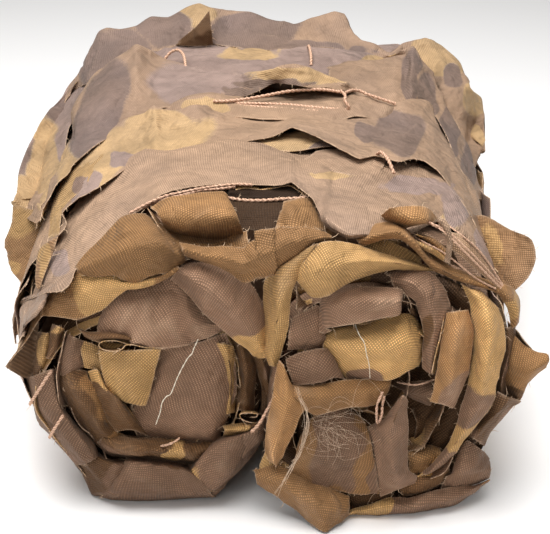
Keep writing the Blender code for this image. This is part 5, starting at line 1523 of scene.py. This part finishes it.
    "rightRim": dict(seed=275, shade=0.25, stiff=0.25, creases=12, crease=0.6, cut=(0.8, 9),
        patches=[(0, 120, 118, 6, 8)], stations=[
        [430, 150, -2, 455, 185, -9, 470, 212, -9], [520, 110, 2, 545, 155, -12, 560, 182, -10],
        [620, 95, 6, 640, 140, -14, 655, 172, -10], [700, 140, 4, 712, 190, -15, 720, 225, -11],
        [770, 230, 2, 775, 270, -14, 790, 308, -10], [860, 290, 0, 862, 325, -12, 870, 352, -8],
        [960, 335, -1, 962, 362, -11, 975, 378, -7], [1070, 370, 3, 1075, 400, -8, 1085, 425, -5],
        [1150, 395, 8, 1150, 440, -5, 1125, 470, -3], [1184, 450, 10, 1180, 500, -2, 1140, 520, -1],
        [1182, 540, 11, 1172, 570, 1, 1148, 580, 1],
    ]),
    "rimLip": dict(under="tan", seed=276, stiff=0.2, creases=5, crease=0.5, stations=[
        [560, 70, 10, 580, 55, 2, 600, 30, -4], [600, 110, 8, 640, 70, -6, 650, 30, -4],
        [640, 130, 6, 710, 90, -10, 720, 26, -2], [700, 118, 6, 760, 90, -8, 780, 42, 2],
        [760, 105, 8, 790, 95, 0, 818, 88, 8],
    ]),
    "archUnder": dict(view="whole", seed=315, shade=0.32, creases=4, crease=0.6, cut=(0.5, 7), stations=[
        [146, 208, 7, 151, 216, 2, 158, 227, -3], [158, 221, 5, 165, 232, -2, 172, 243, -7],
        [172, 231, 5, 180, 243, -3, 188, 254, -9], [192, 236, 7, 198, 247, -4, 205, 258, -9],
        [214, 239, 8, 218, 249, -4, 222, 259, -9], [236, 236, 8, 238, 246, -3, 241, 256, -8],
        [248, 232, 7, 249, 240, -2, 251, 248, -7],
    ]),
    "archBehind": dict(view="whole", colour="olive", seed=299, shade=0.35, creases=3, stations=[
        [364, 242, -3, 366, 246, -4, 368, 251, -5], [384, 239, -2, 386, 248, -4, 388, 259, -6],
        [402, 245, -2, 404, 256, -5, 406, 268, -8], [420, 258, -2, 422, 265, -5, 424, 273, -7],
    ]),
    "rimWeave": dict(view="whole", under="tan", seed=296, paintedSheen=0.7, shade=0.1, creases=5, crease=0.4,
        weaveAngle=50, stations=[
        [447, 231, 0, 449, 240, -4, 451, 250, -6], [460, 233, -1, 461, 246, -6, 462, 258, -7],
        [474, 244, -1, 474, 257, -7, 474, 270, -7], [486, 259, -2, 486, 269, -7, 486, 279, -7],
        [498, 280, -3, 498, 284, -6, 498, 288, -6],
    ]),
    "rimStrap": dict(view="whole", under="tan", seed=297, paintedSheen=1, creases=2, crease=0.3, cut=(0.3, 6),
        step=1.1, stations=[
        [438, 221, -6, 440, 219, -9, 443, 218, -8], [443, 229, -8, 446, 228, -12, 449, 226, -10],
        [447, 240, -10, 450, 240, -13, 453, 239, -11], [446, 252, -10, 449, 252, -14, 452, 252, -12],
        [444, 262, -10, 447, 263, -13, 450, 264, -11],
    ]),
    "rimDark": dict(view="whole", colour="brown", seed=298, shade=0.8, creases=3, stations=[
        [414, 232, 2, 416, 240, 2, 418, 249, 1], [428, 236, 2, 430, 246, 1, 432, 256, 0],
        [440, 242, 2, 443, 252, 1, 446, 262, 0], [454, 250, 2, 458, 260, 1, 463, 270, 0],
    ]),
    "fanStripA": dict(under="olive", seed=277, creases=4, crease=0.4, step=1.2, stations=[
        [690, 140, 6, 715, 150, -5, 730, 165, -4], [780, 160, 6, 800, 180, -6, 800, 205, -5],
        [850, 220, 5, 860, 240, -5, 855, 270, -6],
    ]),
    "fanStripB": dict(colour="olive", under="tan", seed=278, creases=4, crease=0.4, step=1.2, stations=[
        [700, 165, 5, 715, 185, -6, 725, 200, -6], [770, 200, 5, 790, 215, -8, 795, 235, -7],
        [840, 250, 4, 850, 262, -6, 852, 275, -6],
    ]),
    "fanStripC": dict(colour="brown", under="olive", seed=279, creases=4, crease=0.4, step=1.2, stations=[
        [650, 135, 7, 680, 160, -4, 690, 180, -5], [730, 180, 7, 745, 205, -6, 745, 225, -6],
        [790, 250, 5, 800, 262, -6, 802, 280, -6],
    ]),
}
makeFrontEnd("right", rightEnd)
print("right roll end made")


# cloth that lies over the back ends

backEnd = {
    "backFlapLeft": dict(node="back_flap_left", push=-9, colour="olive", under="tan", seed=280, stations=[
        [(-112, 371, 118), (-104, 376, 104), (-100, 372, 88)],
        [(-84, 373, 130), (-80, 380, 112), (-78, 374, 92)],
        [(-54, 373, 128), (-52, 379, 108), (-50, 374, 88)],
        [(-28, 371, 108), (-30, 375, 94), (-33, 371, 80)],
    ]),
    "backFlapRight": dict(node="back_flap_right", push=-9.2, under="brown", seed=281, stations=[
        [(20, 369, 96), (32, 375, 84), (44, 371, 74)], [(34, 371, 120), (46, 379, 104), (56, 373, 90)],
        [(66, 371, 128), (68, 379, 110), (70, 373, 92)], [(98, 369, 108), (92, 376, 98), (86, 371, 88)],
    ]),
    "backRingLeft": dict(colour="mauve", under="brown", seed=282, stations=[
        [(-120, 352, 64), (-112, 366, 62), (-100, 362, 64)],
        [(-110, 352, 34), (-100, 368, 38), (-92, 362, 46)],
        [(-86, 352, 14), (-82, 368, 22), (-78, 362, 34)], [(-56, 352, 12), (-58, 368, 22), (-62, 362, 33)],
        [(-30, 352, 28), (-36, 367, 34), (-44, 362, 42)], [(-20, 354, 56), (-28, 366, 58), (-38, 362, 60)],
    ]),
    "backRingRight": dict(colour="olive", under="brown", seed=283, stations=[
        [(10, 350, 60), (20, 364, 60), (30, 360, 62)], [(22, 350, 30), (30, 365, 36), (38, 360, 44)],
        [(48, 350, 13), (52, 366, 22), (56, 360, 33)], [(80, 350, 14), (76, 365, 24), (72, 360, 35)],
        [(104, 351, 36), (95, 364, 42), (86, 360, 48)], [(112, 352, 64), (102, 363, 66), (92, 359, 68)],
    ]),
    "backTongue": dict(under="olive", seed=284, stations=[
        [(-20, 366, 120), (-10, 372, 118), (0, 366, 116)], [(-24, 366, 100), (-10, 376, 98), (6, 366, 96)],
        [(-20, 362, 78), (-8, 372, 74), (4, 362, 72)], [(-12, 356, 60), (-6, 362, 58), (0, 356, 58)],
    ]),
}
for name, look in backEnd.items():
    makeCloth(name, {"mix": (0.15, 0.2, 0.06), **look})
print("back ends made")


# net cords, stitches and threads

def makeString(name, points, radius, material, twist=6.5, lobes=0.26, sides=10, step=0.8):
    # a path widened by a ring of points, which has two lobes and turns once in every twist millimetres
    points = np.asarray(points, float)
    dense = through(points, np.linspace(0, len(points) - 1, 40 * len(points)))
    length = runs(dense[:, None], 0)[:, 0]
    count = max(6, int(length[-1] / step))
    even = np.linspace(0, length[-1], count)
    path = np.stack([np.interp(even, length, dense[:, k]) for k in range(3)], -1)
    ahead = np.gradient(path, axis=0)
    ahead /= np.linalg.norm(ahead, axis=1, keepdims=True)
    side = np.cross(ahead, (0.13, 0.31, 0.94))
    side /= np.linalg.norm(side, axis=1, keepdims=True)
    up = np.cross(side, ahead)
    angle = np.linspace(0, 2 * math.pi, sides, endpoint=False)[None, :]
    wide = radius * (1 - lobes + lobes * np.cos(2 * (angle - 2 * math.pi * even[:, None] / twist)))
    ring = np.cos(angle)[..., None] * side[:, None] + np.sin(angle)[..., None] * up[:, None]
    grid = path[:, None] + wide[..., None] * ring
    grid[..., 2] = np.maximum(grid[..., 2], bundle["floorGap"])
    uv = np.stack([even[:, None] + 0 * angle, angle / (2 * math.pi) * 1000 + 0 * even[:, None]], -1)
    piece = gridObject(name, grid[:, ::-1], uv[:, ::-1], {}, True)
    piece.data.materials.append(material)


def onDeckPath(*row):
    # a cord's course on the deck, from one of onDeck's rows
    return deckPoint(np.array(onDeck([row])[0]))


def closeUpPath(side, *row):
    # a cord's course in front of the rolls, from one of closeUp's rows
    return closeUp(side, [row])[0]


netCords = {
    "frontCordA": dict(radius=0.95, free="loose", path=onDeckPath(131, 213, 7, 138, 208.5, 7, 150, 202, 8,
        165, 196, 9, 180, 193, 9, 200, 188.5, 9, 220, 186, 10, 238, 184.5, 10, 250, 185, 9
    )),
    "frontCordB": dict(radius=0.9, free="loose", path=onDeckPath(134, 213, 4, 145, 207, 5, 158, 201, 5, 172,
        197.5, 6, 188, 193.5, 6, 204, 190.5, 7, 220, 189, 7, 234, 187, 8
    )),
    "openingCord": dict(radius=1.1, free="loose", path=onDeckPath((224, 197, 0, 34), (234, 199.5, 0, 31),
        (248, 200.5, 0, 30), (264, 200.5, 0, 30), (284, 199, 0, 30), (300, 198.5, 0, 31), (309, 197, 0, 34)
    )),
    "loopCordLow": dict(radius=1.2, free="loose", path=onDeckPath(192, 103, 6, 206, 104, 6, 222, 102.5, 6,
        240, 103.5, 6, 262, 104, 6, 284, 105, 6, 306, 106.5, 6, 326, 108.5, 6, 346, 109.5, 6, 349, 107, 8,
        346, 101, 11, 343, 95, 13, 341, 91, 14
    )),
    "loopCordHigh": dict(radius=1.2, free="loose", path=onDeckPath(212, 101.5, 8, 228, 101, 8, 246, 99, 8,
        262, 96, 9, 280, 92.5, 10, 296, 90.5, 11, 312, 89.5, 12, 328, 90, 13, 341, 92, 14
    )),
    "loopCordMid": dict(radius=1.1, free="loose", path=onDeckPath(216, 104.5, 5, 234, 106, 5, 252, 106.5, 5,
        272, 108, 5, 294, 110, 5, 316, 111.5, 5
    )),
    "tailCord": dict(radius=1.15, free="loose", path=onDeckPath(343, 93, 12, 351, 90, 11, 360, 91, 10, 368,
        94.5, 9, 380, 98.5, 8, 397, 104, 7
    )),
    "rearCordBit": dict(radius=1.15, path=[(23, 296, 174), (23, 286, 178), (23.5, 276, 178.5),
        (24, 262, 177), (24, 256, 173)
    ]),
    "rearLoopBit": dict(radius=1.15, path=[(-74, 268, 174), (-70, 270, 178), (-65, 268, 180),
        (-61, 260, 179), (-59, 248, 176), (-58, 240, 172)
    ]),
    "rightCordBit": dict(radius=1.15, path=[(56, 90, 168), (58, 84, 172), (60, 77, 172.5), (62, 70, 171),
        (64, 64, 167)
    ]),
    "stitchOne": dict(radius=1.0, path=closeUpPath("left", 232, 765, -8, 205, 805, -9, 170, 860, -9, 134,
        917, -4
    )),
    "stitchTwo": dict(radius=1.0, path=closeUpPath("left", 284, 966, -12, 262, 1000, -13, 240, 1035, -12,
        222, 1068, -6
    )),
    "betweenCord": dict(radius=1.05, path=closeUpPath("left", 1238, 868, -3, 1215, 915, -13, 1185, 970, -16,
        1160, 1010, -17, 1130, 1040, -16
    )),
    "ringCordBit": dict(radius=0.7, path=closeUpPath("left", 725, 1105, -14, 755, 1098, -18, 785, 1085, -18,
        805, 1070, -15
    )),
    "rightCordA": dict(radius=0.85, path=closeUpPath("right", 572, 862, -22, 560, 890, -25, 548, 920, -26,
        546, 960, -25, 548, 1000, -21
    )),
    "rightCordB": dict(radius=0.85, path=closeUpPath("right", 580, 880, -21, 572, 920, -25, 570, 960, -25,
        558, 995, -22
    )),
    "holeCord": dict(radius=0.6, path=closeUpPath("right", 640, 818, -8, 680, 826, -13, 720, 830, -14, 760,
        822, -13, 800, 806, -9
    )),
    "rimCordA": dict(radius=0.62, free="loose", path=closeUpPath("whole", 424, 220, 0, 433, 224, -8, 447,
        231, -10, 462, 244, -12, 480, 262, -12, 502, 286, -10
    )),
    "rimCordB": dict(radius=0.62, free="loose", path=closeUpPath("whole", 428, 223, 0, 440, 229, -10, 452,
        239, -12, 470, 257, -13, 487, 274, -13, 501, 288, -11
    )),
    "rimCordC": dict(radius=0.55, free="loose", path=closeUpPath("right", 870, 118, 8, 930, 160, -2, 1000,
        220, -4, 1060, 300, -5, 1114, 385, -7
    )),
    "rimCordD": dict(radius=0.55, free="loose", path=closeUpPath("right", 690, 150, 3, 760, 190, -7, 840,
        232, -9, 910, 285, -9, 990, 350, -9, 1080, 398, -8
    )),
}
for name, look in netCords.items():
    makeString(name, look["path"], look["radius"], cordMaterial)

threads = {
    "leftThread": dict(radius=0.33, path=closeUpPath("left", 890, 625, -13, 870, 668, -15, 862, 690, -15,
        840, 715, -15, 800, 790, -15, 768, 868, -15, 748, 882, -15, 728, 910, -15, 720, 950, -14, 700, 1008,
        -11
    )),
    "rightThread": dict(radius=0.28, path=closeUpPath("right", 450, 560, -20, 468, 605, -26, 490, 640, -29,
        500, 690, -30, 512, 740, -29, 516, 800, -21
    )),
}
for name, look in threads.items():
    makeString(name, look["path"], look["radius"], threadMaterial, twist=2.4, sides=6, step=0.9)
fibre = closeUpPath(
    "whole", 298, 387, -29, 300, 398, -31, 307, 409, -33, 308, 424, -33, 304, 440, -32, 299, 454, -31,
    291, 468, -31, 283, 482, -32, 276, 494, -31,
)
hairs = dict(
    thick=8, fine=36, apart=0.6, radius=0.11, fineRadius=0.06, knot=(323, 425, -29), scatter=(7, 0.8, 4),
    reach=(8, 26), seed=71,
)
random = np.random.default_rng(hairs["seed"])
for k in range(hairs["thick"]):
    path = fibre[random.integers(0, 2):len(fibre) - random.integers(0, 3)]
    path = path + random.normal(0, hairs["apart"], path.shape) + random.normal(0, hairs["apart"], 3)
    makeString(f"thickHair{k}", path, hairs["radius"], hairMaterial, twist=9, sides=5, step=2.0)
knot = closeUpPath("whole", *hairs["knot"])[0]
for k in range(hairs["fine"]):
    start = knot + random.normal(0, 1, 3) * hairs["scatter"]
    angle, reach = math.radians(random.uniform(-85, 25)), random.uniform(*hairs["reach"])
    ahead = np.array([math.cos(angle), 0, math.sin(angle)]) * reach
    bend = np.array([-ahead[2], 0, ahead[0]]) * random.normal(0, 0.35)
    path = [start + ahead * share + bend * math.sin(math.pi * share) for share in (0, 0.25, 0.5, 0.75, 1)]
    makeString(f"fineHair{k}", path, hairs["fineRadius"], hairMaterial, twist=9, sides=5, step=2.2)
makeFrays("looseThreads")
print("cords made;", len(frays), "loose threads")


# floor, light and camera

studio = dict(floorColour=(0.93, 0.92, 0.91), sky=0.13, overhead=38.0, front=6.5, side=2.2)
floorMesh = bpy.data.meshes.new("floor")
floorMesh.from_pydata([(-4, -4, 0), (4, -4, 0), (4, 4, 0), (-4, 4, 0)], [], [(0, 1, 2, 3)])
floor = addObject("floor", floorMesh)
floorMaterial, _, floorShader = newMaterial("plain pale floor")
floorShader.inputs["Base Color"].default_value = (*studio["floorColour"], 1)
floorShader.inputs["Roughness"].default_value = 0.9
floorMesh.materials.append(floorMaterial)

world = bpy.data.worlds.new("studio")
bpy.context.scene.world = world
world.use_nodes = True
sky = world.node_tree.nodes["Background"]
sky.inputs["Color"].default_value = (1.0, 0.99, 0.98, 1)
sky.inputs["Strength"].default_value = studio["sky"]


def areaLight(name, place, target, size, power):
    # a square lamp that is aimed at the target
    light = bpy.data.lights.new(name, "AREA")
    light.shape, light.size, light.energy = "SQUARE", size, power
    lamp = addObject(name, light)
    lamp.location = place
    away = np.array(place, float) - np.array(target, float)
    tilt = math.acos(away[2] / np.linalg.norm(away))
    lamp.rotation_euler = (tilt, 0, math.atan2(away[1], away[0]) + math.pi / 2)


areaLight("overhead softbox", (-0.15, -0.25, 1.4), (0, 0, 0.1), 1.2, studio["overhead"])
areaLight("front softbox", (-0.6, -1.5, 0.9), (0, -0.1, 0.08), 1.0, studio["front"])
areaLight("side softbox", (1.3, -0.7, 0.7), (0, 0, 0.08), 0.8, studio["side"])

lens = bpy.data.cameras.new("camera")
lens.lens, lens.sensor_width, lens.clip_start = cameraLook["lens"], cameraLook["sensor"], 0.01
camera = addObject("camera", lens)
camera.location = cameraLook["place"]
camera.rotation_euler = (math.radians(cameraLook["tilt"]), 0, 0)
bpy.context.scene.camera = camera
bpy.context.scene.view_settings.view_transform = "Standard"
